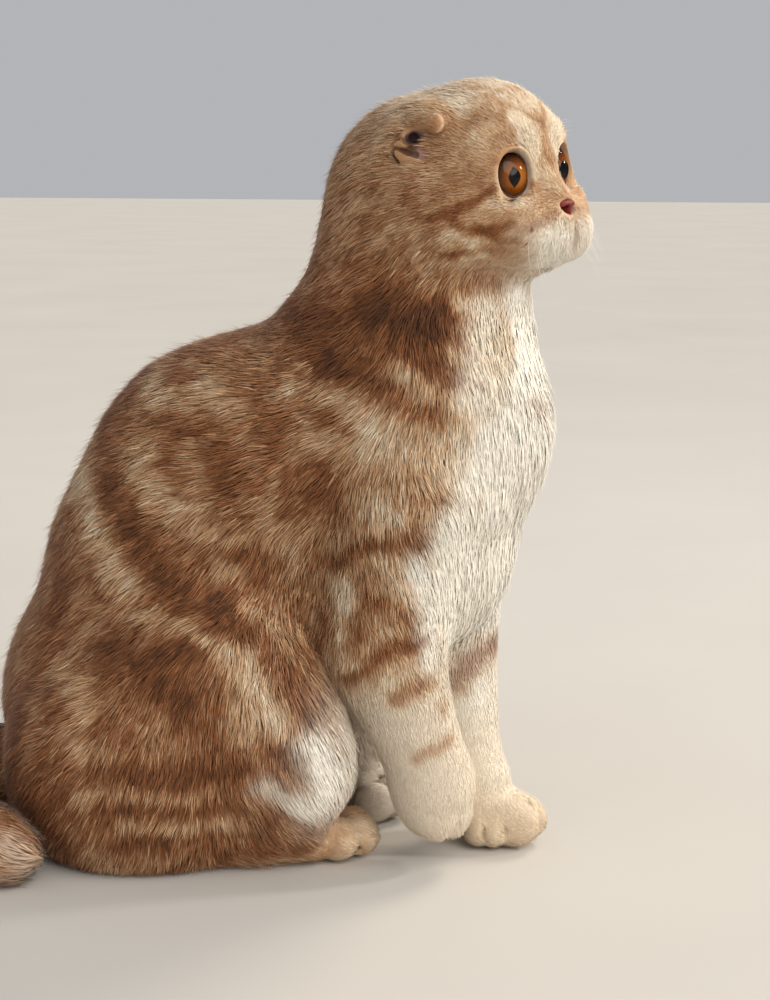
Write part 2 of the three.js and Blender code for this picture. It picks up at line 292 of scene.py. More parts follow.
@dataclass
class EyeSocket:
    """One eye's place in the head, its ball and its lids' opening. The left one; the right mirrors it."""

    at: Triple = (35.2, 19.5, 1.3)
    splay: float = 14.0
    front: float = 13.4
    across: float = 12.2
    lid: float = 1.1
    half_width: float = 10.0
    half_height: float = 10.5
    low_height: float = 8.6  # below the middle
    flare: float = 0.6
    flare_from: float = 8.6  # ahead of the ball's middle
    cut_from: float = 4.0  # where the opening starts, ahead of the ball's middle
    reach: float = 2.6  # how far beyond the lids the opening cuts
    inner_lean: float = 0.10
    outer_lean: float = -0.04

    def eye_axes(self, q: Points) -> tuple[np.ndarray, np.ndarray, np.ndarray]:
        """How far points of the head lie ahead of the eye's middle, outwards from it and above it."""
        angle = math.radians(self.splay)
        x, y, z = (q - np.array(self.at, np.float32)).T
        ahead = x * math.cos(angle) + y * math.sin(angle)
        outwards = y * math.cos(angle) - x * math.sin(angle)
        return ahead, outwards, z

    def from_eye(self, ahead: np.ndarray, outwards: np.ndarray, above: np.ndarray) -> Points:
        """Places given in the eye's own axes as points of the head."""
        angle = math.radians(self.splay)
        x = ahead * math.cos(angle) - outwards * math.sin(angle)
        y = ahead * math.sin(angle) + outwards * math.cos(angle)
        return np.stack([x, y, above], -1) + np.array(self.at)

    def rim_depth(self, outwards: np.ndarray, above: np.ndarray) -> np.ndarray:
        """How far ahead the ball's surface is at a place across the eye."""
        share = np.clip(1.0 - (outwards**2 + above**2) / self.across**2, 0.0, 1.0)
        return self.front * np.sqrt(share)

    def lean(self, outwards: np.ndarray, above: np.ndarray) -> np.ndarray:
        """How far the opening leans, so that the lids meet softly at the top and the inner corner."""
        return np.where(outwards < 0, self.inner_lean, self.outer_lean) * above

    def lids(self, q: Points) -> np.ndarray:
        """Distance to the lids, which cover the ball closely."""
        ahead, outwards, above = self.eye_axes(q)
        wide, deep = self.across + self.lid, self.front + self.lid
        near = np.sqrt((ahead / deep) ** 2 + (outwards**2 + above**2) / wide**2)
        return (near - 1.0) * wide

    def opening(self, q: Points) -> np.ndarray:
        """Distance to the opening between the lids, which flares outwards."""
        ahead, outwards, above = self.eye_axes(q)
        grow = self.flare * np.maximum(ahead - self.flare_from, -0.6)
        a = self.half_width + grow
        b = np.where(above > 0, self.half_height, self.low_height) + grow
        near = np.sqrt(((outwards + self.lean(outwards, above)) / a) ** 2 + (above / b) ** 2)
        hole = np.maximum((near - 1.0) * np.minimum(a, b), self.cut_from - ahead)
        return np.maximum(hole, self.lids(q) - self.reach - 1.4 * smooth(-above, 1.0, 8.0))

    def dish(self, q: Points) -> np.ndarray:
        """Distance to the shallow dish in the cheek, below the eye on its outer side."""
        return ball((16.2, 9.4, -5.6), (4.8, 5.4, 6))(np.stack(self.eye_axes(q), 1))


@dataclass
class EarFold:
    """A small ear folded forwards and down over its opening. The left one; the right mirrors it."""

    def root(self, q: Points) -> np.ndarray:
        """Distance to the ear's root, which flows into the crown."""
        lobes = [ball((6, 31.8, 25.4), (11, 4.6, 6)), ball((1, 37.8, 16.8), (6, 4, 7.4))]
        return joined(lobes, 2.5)(q)

    def flap(self, q: Points) -> np.ndarray:
        """Distance to the free end of the flap and the rim behind the opening."""
        shapes = [
            limb((8, 40, 26.6), (17.8, 40.8, 25.2), 3, 4.5),  # free end
            ball((3.2, 43.4, 15), (5.4, 3.2, 6.6)),  # rim
            limb((0.8, 45.6, 17.6), (7, 45, 15.4), 1.5, 1.2),  # folds of the rim
            limb((0.4, 45.4, 13.4), (7.2, 44.2, 10.6), 1.5, 1.3),
        ]
        return joined(shapes, 0.8)(q)

    def opening(self, q: Points) -> np.ndarray:
        """Distance to the dark opening under the flap."""
        under = ball((9.2, 43.8, 19.8), (4.8, 4.6, 3.2))
        canal = limb((7.4, 41.8, 19.8), (6, 40.2, 19.2), 2.6, 2.2)
        return nearest([under, canal], q)

    def furrows(self, q: Points) -> np.ndarray:
        """Distance to the furrows between the folds of the rim."""
        behind = [(1.8, 45.8, 20.2, 1.2), (-1, 45.6, 17, 1.7), (-1.2, 45.2, 13.8, 1.7), (1.4, 44.6, 9.8, 1.4)]
        upper = [(2.6, 46, 19.6, 1), (6, 45.8, 18, 1.4), (9.6, 43.8, 16.4, 1.6)]
        lower = [(1.6, 46.4, 15.6, 0.9), (5.2, 45.8, 13.8, 1.4), (8.8, 43.6, 12.4, 1.5)]
        below = [(-1, 43.6, 8.8, 0.8), (5, 42.4, 6, 0.6)]
        above = [(-0.4, 43.6, 25.6, 0.9), (0.6, 43.8, 21, 0.7)]
        tip = [(22, 40.4, 29.6, 0.5), (23.6, 40.2, 25.2, 0.9), (21.2, 41.2, 20.8, 0.8), (14, 43, 19.8, 0.6)]
        shapes = [ball((8.2, 45.6, 15.4), (2.4, 3.4, 2.2))]
        for route in (behind, upper, lower, below, above, tip):
            shapes += chain(route)
        return nearest(shapes, q)


@dataclass
class Head:
    """The head: the skull's shape, and what the skin adds to it."""

    axes: HeadAxes = field(default_factory=HeadAxes)
    eye: EyeSocket = field(default_factory=EyeSocket)
    ear: EarFold = field(default_factory=EarFold)
    blend: float = 4.0

    def skull(self) -> Field:
        """The head's outer shape, in its own axes."""
        paired = [
            ball((30, 18, 15), (14, 16, 12)),  # brow over the eye
            ball((33, 25, 0), (12, 11, 13)),  # rim of the eye, on its outer side
            ball((38, 23, -13), (13, 13, 12)),  # below the eye
            ball((12, 28, -14), (30, 21, 24)),  # cheek
            ball((-4, 22, -22), (30, 22, 18)),  # jowl
            ball((49, 10, -24), (13, 13, 10)),  # whisker pad
            ball((41, 23, -22), (13, 10, 10)),  # side of the whisker pad
        ]
        single = [
            ball((-4, 0, 2), (42, 42, 35)),  # cranium
            ball((17, 0, 14), (30, 34, 29)),  # forehead
            limb((36, 0, 8), (49, 0, -11), 10, 9),  # bridge of the nose
            ball((43, 0, -32), (13, 12, 8)),  # chin
            limb((4, 0, -26), (36, 0, -28), 19, 12),  # lower jaw
        ]
        return joined(single + both_sides(paired), self.blend)

    def coat_depth(self, q: Points) -> np.ndarray:
        """How far the skin lies under the coat's tips."""
        back = np.interp(q[:, 0], [-35, -5, 15, 34], [2.6, 2.1, 1.5, 0.9])
        low = smooth(-q[:, 2], 24, 44) * np.interp(q[:, 0], [-10, 30, 50], [1.4, 1.0, 0.4])
        return back + low

    def cleft(self, q: Points) -> np.ndarray:
        """Distance to the cleft between the whisker pads, under the nose."""
        route = [(62.6, 0, -19, 0.8), (61.8, 0, -23, 1.8), (61.6, 0, -29, 2.4), (60.4, 0, -36, 2.8)]
        return nearest(chain(route), q)

    def under_pads(self, q: Points) -> np.ndarray:
        """Distance to the room under the whisker pads, which overhang the mouth."""
        return nearest(chain([(57.5, 0, -40, 4.8), (56, 7, -42, 3.6), (51, 15, -43.5, 2)]), q)

    def nose_bed(self, q: Points) -> np.ndarray:
        """Distance to the hollow that the nose leather lies in."""
        return ball((58.8, 0, -13.4), (4.2, 6.0, 3.2))(q)

    def shaped(self, q: Points, skin: np.ndarray, whole: bool) -> np.ndarray:
        """Adds lids, ears and whisker pads to the skin.

        Args:
            q: Points in the head's axes.
            skin: Distances to the plain skin.
            whole: True to leave out the ear's opening and furrows.

        Returns:
            Distances to the finished skin.
        """
        q = one_side(q)
        lobes = [
            ball((50.6, 9.2, -29.4), (11.2, 8.2, 7.8)),
            ball((50, 9, -24), (10.6, 8, 7)),
            ball((47.5, 10.5, -21.5), (11, 9, 8)),
            ball((44, 17, -25.5), (11, 8.6, 10.4)),
        ]
        made = hollow(skin, self.under_pads(q), 4.0)
        made = softly([made, joined(lobes, 2.0)(q)], 1.6)
        made = softly([made, self.ear.root(q)], 5.0)
        made = softly([made, self.ear.flap(q)], 0.9)
        made = hollow(made, self.eye.dish(q), 2.0)
        made = softly([made, self.eye.lids(q)], 1.2)
        made = hollow(made, self.cleft(q), 1.6)
        made = hollow(made, self.nose_bed(q), 0.8)
        made = hollow(made, self.eye.opening(q), 0.6)
        if whole:
            return made
        made = hollow(made, self.ear.opening(q), 1.2)
        return hollow(made, self.ear.furrows(q), 0.5)

    def bare(self, q: Points) -> np.ndarray:
        """How bare the skin is, from 0 to 1: in and before the ears, along the lids and round the nose."""
        q = one_side(q)
        near_nose = ball((57.4, 0, -13.6), (4.8, 6.5, 3.9))(q)
        lid_edge = np.maximum(self.eye.opening(q) - 0.9, self.eye.lids(q) - 0.5)
        before_ear = ball((10.4, 42.2, 12.8), (4.6, 5, 3.8))(q)
        parts = [
            smooth(0.2 - self.ear.opening(q), -0.5, 0.3),
            0.5 * smooth(-lid_edge, -0.6, 0.3),
            0.6 * smooth(-before_ear, -1.0, 1.5),
            0.45 * smooth(-near_nose, -0.5, 0.3),
            # in the cleft under the nose the flesh colour is partly bare skin and partly painted shade
            0.55 * smooth(-self.cleft(q), -1.0, 0.1),
        ]
        return np.maximum.reduce(parts)

    def hairless(self, q: Points) -> np.ndarray:
        """Where no tufts grow: in the ears, on the lids and at the nose."""
        side = one_side(q)
        folds = ball((4.4, 45.6, 14.8), (6.0, 5.0, 6.6))(side)
        free_end = limb((12.0, 43.4, 25.6), (18.6, 43.2, 25.2), 3.4, 4.6)(side)
        wall = np.maximum(self.eye.opening(side) - 0.9, self.eye.lids(side) - 2.6)
        least = np.minimum.reduce([folds, free_end, wall, self.ear.opening(side) - 1.3])
        return (self.bare(q) > 0.4) | (least < 0)

    def detailed(self, q: Points) -> np.ndarray:
        """How near points are to the small shapes of the face, which need a finer mesh."""
        side = one_side(q)
        lids = np.where(self.eye.lids(side) < 6.0, np.abs(self.eye.opening(side)), 99.0)
        flap = np.abs(self.ear.flap(side)) + 0.5
        cleft = self.cleft(side) + 1.0
        return np.minimum.reduce([lids, self.ear.furrows(side), self.ear.opening(side), flap, cleft])

    def fur_length(self, q: Points) -> np.ndarray:
        """The tufts' length for that of the coat's depth: short on the ears and lids, long on the brow."""
        side = one_side(q)
        on_ear = smooth(-np.minimum(self.ear.root(side), self.ear.flap(side)), -3.0, 0.5)
        on_lid = smooth(-self.eye.lids(side), -4.0, -0.5)
        return (1.0 - 0.55 * on_ear) * (1.0 - 0.45 * on_lid)

    def brow(self, q: Points) -> np.ndarray:
        """How far points lie on the brow over the eye, where the hairs stand out."""
        return smooth(-ball((42, 15, 15), (6, 8, 5))(one_side(q)), -5.0, 1.0)


@dataclass
class Body:
    """The whole cat as distance fields, with the same sizes as its solids."""

    head: Head = field(default_factory=Head)
    body_blend: float = 7.0
    trunk_blend: float = 9.0
    limb_blend: float = 5.0
    arm_flatness: float = 0.82
    neck_flatness: float = 0.95
    foot_spread: float = 1.1
    toes_below: float = 50.0  # height under which the toes are looked for
    head_reach: float = 14.0  # how far from the head its small shapes are looked for

    def __post_init__(self) -> None:
        """Builds the fields of the parts."""
        muscles = [
            ball((-12, 54, 74), (56, 31, 53)),
            ball((-52, 60, 42), (57, 37, 52)),
            ball((20, 50, 50), (37, 24, 36)),
        ]
        haunch = joined(muscles, self.body_blend)
        foot_route = [(-52, 64, 14, 14), (6, 47, 12, 12), (52, 33, 13, 13)]
        foot = joined(chain(foot_route, self.foot_spread), self.limb_blend)
        skull, axes = self.head.skull(), self.head.axes
        self.fields: dict[Part, Field] = {
            Part.TRUNK: self.trunk(),
            Part.HEAD: lambda p: skull(axes.inwards(p)),
            Part.FORELEG_RIGHT: self.raised_foreleg(),
            Part.FORELEG_LEFT: self.planted_foreleg(),
            Part.HAUNCH_RIGHT: mirrored(haunch),
            Part.HAUNCH_LEFT: haunch,
            Part.FOOT_RIGHT: mirrored(foot),
            Part.FOOT_LEFT: foot,
            Part.TAIL: joined(chain(self.tail_route()), self.limb_blend),
        }
        self.toes = joined(self.toe_balls(), 1.0)
        self.between_toes = self.clefts()

    def trunk(self) -> Field:
        """Neck and trunk."""
        shapes = [
            limb((72, -2, 298), (72, 0, 250), 41, 52, self.neck_flatness),
            ball((74, 0, 200), (62, 54, 62)),  # chest
            ball((14, 0, 182), (66, 56, 62)),  # upper flank
            ball((-23, 0, 171), (63, 55, 63)),  # back
            ball((33, 0, 237), (21, 34, 21)),  # withers
            ball((-38, 0, 128), (72, 60, 66)),  # loin
            ball((-70, 0, 64), (64, 68, 68)),  # rump
            ball((12, 0, 94), (62, 48, 52)),  # belly
            ball((70, 0, 142), (48, 38, 46)),  # brisket
        ]
        return joined(shapes, self.trunk_blend)

    def raised_foreleg(self) -> Field:
        """The right foreleg, whose paw hangs above the floor."""
        shapes = [
            limb((78, -36, 172), (66, -37, 112), 32, 27, self.arm_flatness),
            limb((68, -36, 100), (87, -31, 46), 25, 18.5, self.arm_flatness),
            ball((88, -30, 34), (18.5, 16, 21.5)),
        ]
        return joined(shapes, self.limb_blend)

    def planted_foreleg(self) -> Field:
        """The left foreleg, which stands on the floor."""
        shapes = [
            limb((74, 36, 172), (76, 34, 112), 32, 24, self.arm_flatness),
            limb((82, 28, 104), (96, 13, 36), 22, 14.5, self.arm_flatness),
            ball((99, 12, 24), (15, 15, 18)),
            ball((111, 10, 13), (22, 16.5, 14)),
        ]
        return joined(shapes, self.limb_blend)

    @staticmethod
    def tail_route() -> list[tuple[float, ...]]:
        """Points along the tail, each with its radius."""
        return [
            (-118, 2, 24, 22),
            (-150, -10, 19, 19),
            (-168, -40, 17.5, 18.5),
            (-160, -74, 17.5, 18.5),
            (-134, -96, 17.5, 18.5),
            (-102, -106, 17, 17.5),
            (-90, -106, 15, 14.5),
        ]

    @staticmethod
    def toe_balls() -> list[Field]:
        """The toes, under their short fur."""
        hind = [(44.5, 37.2, 9), (51.5, 28, 8.2), (46, 18.5, 7.2)]
        hind_toes = [ball((x, y, 10.6), (10, wide, 9.9)) for x, y, wide in hind]
        front = [(119, 2.5, 11.4), (121, 12.5, 12), (114, 20.5, 11)]
        planted = [ball(at, (11.6, 6.6, at[2] - 1)) for at in front]
        curled = [ball((103, -2.4, 9.6), (6.4, 6.6, 8.2)), ball((110.4, -2, 9), (5.6, 6.4, 7.6))]
        raised = [(92, -38.5, 26), (97.5, -32, 25.5), (97.5, -25, 25.5), (92, -19.5, 26)]
        return both_sides(hind_toes) + planted + curled + [ball(at, (8.2, 5.2, 10.5)) for at in raised]

    def clefts(self) -> list[Field]:
        """The furrows between the toes."""
        hind = [limb((56, 36.5, 2), (44, 31.0, 21.5), 1.9, 1.3), limb((60, 22, 4), (48, 23, 21.5), 1.0, 0.6)]
        pairs = [
            ((132.5, 7.6, 6), (124, 7.6, 22.5)),
            ((106.8, -9.6, 1), (106.8, -7.6, 12.0)),
            ((116.0, -7.0, 2), (116.6, -4.6, 12.0)),
            ((105.5, -29.2, 14), (105.2, -29.0, 24)),
            ((102.5, -36.4, 14), (102.0, -36.6, 24)),
        ]
        return both_sides(hind) + [limb(low, high, 0.9, 0.5) for low, high in pairs]

    def distances(self, p: Points) -> np.ndarray:
        """Distances from points to every part, one row for each."""
        return np.stack([self.fields[part](p) for part in Part])

    def outer(self, d: np.ndarray) -> np.ndarray:
        """Distance to the coat's tips. Parts flow into the trunk, and only touch each other."""
        groups = [(1,), (2,), (3,), (4, 6), (5, 7), (8,)]
        trunk = d[Part.TRUNK]
        rows = [softly([trunk] + [d[i] for i in group], self.body_blend) for group in groups]
        return np.minimum.reduce(rows)

    def shares(self, d: np.ndarray) -> np.ndarray:
        """How much each point belongs to each part: the columns add up to 1."""
        near = np.exp((d.min(0) - d) / 5.0)
        return near / near.sum(0)

    def coat_depth(self, p: Points, d: np.ndarray) -> np.ndarray:
        """How far the skin lies under the coat's tips."""
        x, _, z = p.T
        trunk = 2.9 + 0.2 * smooth(x, 60, 120) * smooth(z, 90, 180) - 0.2 * smooth(z, 230, 300)
        # the hair thins under the chin and where the neck meets the back
        trunk -= 1.8 * smooth(x, 80, 110) * smooth(z, 236, 266)
        trunk -= 0.8 * smooth(-x, -62, -40) * smooth(z, 232, 248)
        leg = np.interp(z, [18, 45, 95, 150], [0.9, 1.0, 1.5, 2.7])
        haunch = 2.9 - 1.6 * smooth(x, 30, 60) * smooth(-z, -60, -20)
        foot = 1.0 + 1.2 * smooth(-x, -40, 0)
        head = self.head.coat_depth(self.head.axes.inwards(p))
        tail = np.full_like(x, 2.9)
        rows = [trunk, head, leg, leg, haunch, haunch, foot, foot, tail]
        return (self.shares(d) * np.stack(rows)).sum(0)

    def toe_relief(self, p: Points, d: np.ndarray) -> np.ndarray:
        """How much deeper the skin lies where the toes stand out from the foot."""
        x, _, z = p.T
        shares = self.shares(d)
        hind = (shares[Part.FOOT_RIGHT] + shares[Part.FOOT_LEFT]) * smooth(x, 36, 48)
        planted = shares[Part.FORELEG_LEFT] * smooth(x, 96, 112) * smooth(-z, -36, -26)
        raised = shares[Part.FORELEG_RIGHT] * smooth(-z, -36, -26) * smooth(x, 84, 96)
        return 8.5 * hind + 1.6 * planted + 1.2 * raised

    def skin(self, p: Points, whole: bool = False) -> np.ndarray:
        """Distance to the skin.

        Args:
            p: Points.
            whole: True to leave out the hollows and furrows.

        Returns:
            One distance for each point.
        """
        d = self.distances(p)
        made = self.outer(d) + self.coat_depth(p, d) + self.toe_relief(p, d)
        near_feet = p[:, 2] < self.toes_below
        if near_feet.any():
            low = p[near_feet]
            toes = softly([made[near_feet], self.toes(low)], 1.4)
            made[near_feet] = toes if whole else hollow(toes, self.furrows(low), 1.4)
        near_head = d[Part.HEAD] < self.head_reach
        if near_head.any():
            q = self.head.axes.inwards(p[near_head])
            made[near_head] = self.head.shaped(q, made[near_head], whole)
        return np.maximum(made, 0.6 - p[:, 2])

    def buried(self, p: Points) -> np.ndarray:
        """How much painted shade points on the skin get where they lie in a hollow or furrow, from 0 to 1."""
        return smooth(-self.skin(p, whole=True), 0.1, 2.2)

    def furrows(self, p: Points) -> np.ndarray:
        """Distance to the furrows between the toes."""
        return nearest(self.between_toes, p)

    def detailed(self, p: Points) -> np.ndarray:
        """How near points are to small shapes, which need a finer mesh."""
        near = self.head.detailed(self.head.axes.inwards(p))
        return np.where(p[:, 2] < self.toes_below, self.furrows(p) + 0.8, near)

    def slope(self, p: Points, step: float = 0.25) -> Points:
        """The way in which the distance to the skin grows fastest, at each point."""
        rows = []
        for axis in range(3):
            shift = np.zeros(3, np.float32)
            shift[axis] = step
            rows.append((self.skin(p + shift) - self.skin(p - shift)) / (2 * step))
        return np.stack(rows, 1)


# The lie of the coat


@dataclass(frozen=True)
class Guide:
    """Which way the hair lies at a place on the near side."""

    at: Triple
    lie: Triple


TRUNK_GUIDES = (
    Guide((40, -45, 262), (-0.95, 0, -0.3)),  # nape
    Guide((66, -50, 285), (-0.7, 0, -0.7)),
    Guide((100, -45, 240), (0.1, 0, -1)),  # side of the neck
    Guide((122, -10, 250), (0, 0, -1)),  # throat
    Guide((132, 0, 200), (0.05, 0, -1)),  # chest
    Guide((112, -38, 190), (0.1, -0.1, -1)),
    Guide((85, -52, 205), (-0.25, 0, -1)),  # shoulder
    Guide((50, -55, 215), (-0.85, 0, -0.5)),
    Guide((10, -30, 238), (-1, 0, -0.15)),  # withers
    Guide((50, -56, 180), (-0.6, 0, -0.8)),
    Guide((10, -58, 190), (-1, 0, -0.25)),  # upper flank
    Guide((-30, -55, 190), (-0.95, 0, -0.35)),
    Guide((-60, -25, 200), (-0.95, 0, -0.4)),  # back
    Guide((-20, -60, 150), (-0.8, 0, -0.6)),  # flank
    Guide((25, -58, 140), (-0.35, 0, -1)),
    Guide((-75, -40, 150), (-0.8, 0, -0.7)),  # loin
    Guide((-95, -30, 100), (-0.5, 0, -1)),  # rump
    Guide((-115, 0, 60), (-0.6, 0, -0.9)),
    Guide((30, -40, 80), (-0.2, 0, -1)),  # belly
    Guide((100, 0, 140), (0, 0, -1)),  # brisket
)
HAUNCH_GUIDES = (
    Guide((-60, -62, 115), (-0.8, 0, -0.6)),
    Guide((-20, -74, 112), (-0.6, 0, -0.8)),
    Guide((15, -72, 100), (-0.1, 0, -1)),
    Guide((-80, -75, 85), (-0.85, 0, -0.6)),
    Guide((-20, -86, 80), (-0.25, 0, -1)),
    Guide((25, -78, 75), (0.1, 0, -1)),
    Guide((45, -68, 60), (0.35, 0, -0.95)),
    Guide((-80, -88, 45), (-0.6, 0, -0.8)),
    Guide((-20, -92, 40), (-0.3, 0, -1)),
    Guide((30, -74, 40), (0.6, 0, -0.8)),
    Guide((-40, -88, 10), (-0.5, 0, -0.9)),
)


@dataclass
class CoatLie:
    """Which way the hair lies, everywhere on the body."""

    body: Body

    @staticmethod
    def guided(p: Points, guides: Sequence[Guide]) -> Points:
        """The mean lie of the guides round each point, alike on both sides."""
        side = np.where(p[:, 1] > 0, -1.0, 1.0)
        near = one_side(p, -1)
        total = np.zeros_like(p)
        for guide in guides:
            away = ((near - np.array(guide.at, np.float32)) ** 2).sum(1)
            total += np.array(guide.lie, np.float32) / (away[:, None] + 90.0) ** 1.5
        total[:, 1] *= side
        return unit(total)

    def along_tail(self, p: Points) -> Points:
        """Towards the tail's tip."""
        knots = np.array(self.body.tail_route(), np.float32)[:, :3]
        ways = unit(np.diff(knots, axis=0))
        middles = (knots[1:] + knots[:-1]) / 2
        away = ((p[:, None] - middles[None]) ** 2).sum(2)
        share = np.exp(-away / 500.0) + 1e-6
        return unit((share[..., None] * ways[None]).sum(1))

    def on_head(self, p: Points) -> Points:
        """Away from the nose, and back and down over the cheeks."""
        axes = self.body.head.axes
        q = axes.inwards(p)
        away = unit(q - np.array([60.0, 0.0, -10.0], np.float32))
        back = smooth(-q[:, 0], -30, 0)[:, None]
        low = smooth(-q[:, 2], 5, 35)[:, None]
        down = np.array([-0.35, 0, -1], np.float32)
        away = away * (1 - 0.6 * low) + down * 0.6 * low
        away = away + back * np.array([-0.8, 0.0, -0.25], np.float32)
        return unit(away) @ axes.turn().T

    def __call__(self, p: Points, normal: Points) -> Points:
        """The lie at each point, along the skin.

        Args:
            p: Points on the skin.
            normal: The skin's outward normals there.

        Returns:
            Unit vectors square to the normals.
        """
        shares = self.body.shares(self.body.distances(p))
        raised = unit(np.array([15, 4, -60], np.float32))
        planted = unit(np.array([12, -10, -65], np.float32))
        paw = smooth(-p[:, 2], -28, -12)[:, None]
        planted_lie = planted * (1 - paw) + np.array([1.0, 0.0, -0.35], np.float32) * paw
        haunch = self.guided(p, HAUNCH_GUIDES)
        forwards = np.array([1, 0, -0.15], np.float32)
        lies = {
            Part.TRUNK: self.guided(p, TRUNK_GUIDES),
            Part.HEAD: self.on_head(p),
            Part.FORELEG_RIGHT: raised,
            Part.FORELEG_LEFT: planted_lie,
            Part.HAUNCH_RIGHT: haunch,
            Part.HAUNCH_LEFT: haunch,
            Part.FOOT_RIGHT: forwards,
            Part.FOOT_LEFT: forwards,
            Part.TAIL: self.along_tail(p),
        }
        total = sum(shares[part][:, None] * lie for part, lie in lies.items())
        return unit(total - (total * normal).sum(1, keepdims=True) * normal)


# Markings


@dataclass(frozen=True)
class Stroke:
    """A soft stripe or patch of the coat: how red it is (less than 0 is paler), its half width, its route."""

    name: str
    strength: float
    width: float
    route: tuple[Triple, ...]

    def at(self, p: Points) -> np.ndarray:
        """How strongly the stroke colours each point."""
        knots = [np.array(knot, np.float32) for knot in self.route]
        least = np.full(len(p), np.inf, np.float32)
        for a, b in zip(knots, knots[1:] or knots):
            way = b - a
            t = np.clip((p - a) @ way / max(float(way @ way), 1e-6), 0.0, 1.0)
            least = np.minimum(least, ((p - a - t[:, None] * way) ** 2).sum(1))
        return self.strength * np.exp(-((least / (1.15 * self.width) ** 2) ** 1.3))


def whisker_roots(*places: Triple) -> list[Stroke]:
    """The dark spots that whiskers grow from."""
    return [Stroke("whisker root", 1.0, 0.85, (place,)) for place in places]


TRUNK_STROKES = (
    Stroke("back edge", 0.5, 7.4, ((-53, -11, 222), (-65, -18, 210), (-67, -34, 193), (-62, -47, 176))),
    Stroke("saddle spot", 0.45, 5.1, ((-37, -10, 232), (-28, -36, 222))),
    Stroke("upper flank pale", -0.55, 6.5, ((-48, -27, 220), (-37, -42, 212))),
    Stroke("upper flank pale patch", -0.5, 6, ((-15, -45, 218), (0, -51, 213))),
    Stroke("upper flank bar", 0.4, 4.2, ((-66, -22, 205), (-41, -45, 204), (-13, -55, 201))),
    Stroke("long band", 0.75, 7.9, ((-59, -51, 171), (-37, -62, 143), (-22, -66, 131), (-4, -67, 125))),
    Stroke("long band, lower", 0.8, 5.1, ((-4, -67, 125), (10, -69, 116), (21, -70, 105), (32, -71, 93))),
    Stroke("middle pale", -0.5, 6, ((-46, -48, 195), (-39, -53, 191))),
    Stroke("middle pale patch", -0.55, 7, ((-45, -54, 181), (-37, -58, 174))),
    Stroke("middle pale spot", -0.35, 5.6, ((-19, -56, 193), (-15, -59, 183))),
    Stroke("middle dark", 0.5, 7.9, ((-6, -59, 189), (3, -59, 186), (2, -60, 177))),
    Stroke("middle line", 0.35, 2.8, ((12, -51, 214), (15, -57, 199), (17, -59, 183))),
    Stroke("lower flank pale", -0.5, 6, ((-25, -60, 167), (-14, -61, 162), (-6, -61, 151))),
    Stroke("lower flank pale patch", -0.45, 5.6, ((17, -59, 170), (21, -57, 159))),
    Stroke("lower flank dark", 0.55, 9.3, ((34, -58, 180), (46, -57, 174), (54, -58, 163))),
    # a dark line of painted shade along a fold of the coat
    Stroke("flank fold shade", 0.4, 3.3, ((-9, -61, 148), (4, -59, 147), (15, -55, 144), (28, -53, 138))),
    Stroke("belly pale", -0.5, 4.2, ((-5, -60, 142), (5, -59, 134))),
    Stroke("belly pale patch", -0.5, 6, ((28, -52, 145), (32, -51, 131))),
    Stroke("belly pale streak", -0.6, 3.7, ((11, -60, 128), (22, -62, 115), (35, -63, 100))),
    Stroke("loin pale", -0.75, 7, ((-82, -32, 173), (-69, -50, 158), (-61, -57, 143), (-48, -63, 130))),
    Stroke("loin edge", 0.5, 6, ((-86, -48, 128), (-91, -51, 109), (-93, -66, 84))),
    # a dark line of painted shade along a fold of the coat
    Stroke("elbow fold shade", 0.4, 3.7, ((41, -53, 146), (41, -52, 127), (43, -53, 109))),
    Stroke("nape", 0.6, 10.2, ((26, -32, 250), (47, -46, 246), (43, -48, 234))),
    Stroke("shoulder band", 0.55, 6, ((43, -48, 232), (62, -53, 228), (76, -54, 220), (92, -52, 215))),
    Stroke("throat cream", -1.1, 10.5, ((112, -40, 250), (118, -40, 228), (108, -48, 208))),
    Stroke("throat's side", -1, 8, ((120, -32, 258), (122, -31, 240), (122, -31, 226))),
    # the neck band is partly the coat's own marking and partly painted shade under the jaw
    Stroke("neck", 1.15, 9.4, ((62, -51, 260), (74, -50, 258), (86, -49, 252))),
    Stroke("upper necklace", 0.6, 2.8, ((95, -46, 260), (99, -44, 253), (108, -39, 251))),
    Stroke("middle necklace", 0.5, 2.8, ((92, -48, 246), (104, -43, 240), (112, -38, 233), (122, -30, 222))),
    Stroke("lower necklace", 0.5, 3.6, ((74, -53, 240), (98, -47, 231), (114, -38, 223), (134, -9, 212))),
    Stroke("faint necklace", 0.25, 3.7, ((109, -46, 201), (116, -40, 191), (121, -34, 187))),
    Stroke("throat pale", -0.7, 4.2, ((100, -42, 259), (110, -36, 256), (119, -26, 259))),
    Stroke("neck pale", -0.6, 3.7, ((100, -45, 239), (110, -40, 232), (119, -33, 227))),
    Stroke("shoulder pale", -0.65, 4.2, ((80, -53, 229), (87, -53, 223), (98, -50, 220), (112, -42, 216))),
    Stroke("withers pale", -0.5, 5.6, ((28, -48, 222), (46, -51, 222), (57, -54, 216), (67, -57, 208))),
    Stroke("shoulder mottle", -0.4, 5.6, ((44, -56, 200), (58, -58, 196))),
    Stroke("shoulder mottle dark", 0.3, 4.2, ((42, -54, 212), (53, -55, 208))),
    Stroke("shoulder cream", -0.5, 12, ((70, -56, 206), (92, -54, 200), (104, -50, 190))),
    Stroke("shoulder patch", 0.25, 5.6, ((97, -52, 209), (110, -45, 205))),
    Stroke("shoulder hem", 0.45, 4.2, ((89, -62, 177), (102, -55, 174), (112, -45, 176))),
    Stroke("shoulder hem pale", -0.3, 4.2, ((70, -63, 174), (82, -63, 168))),
)
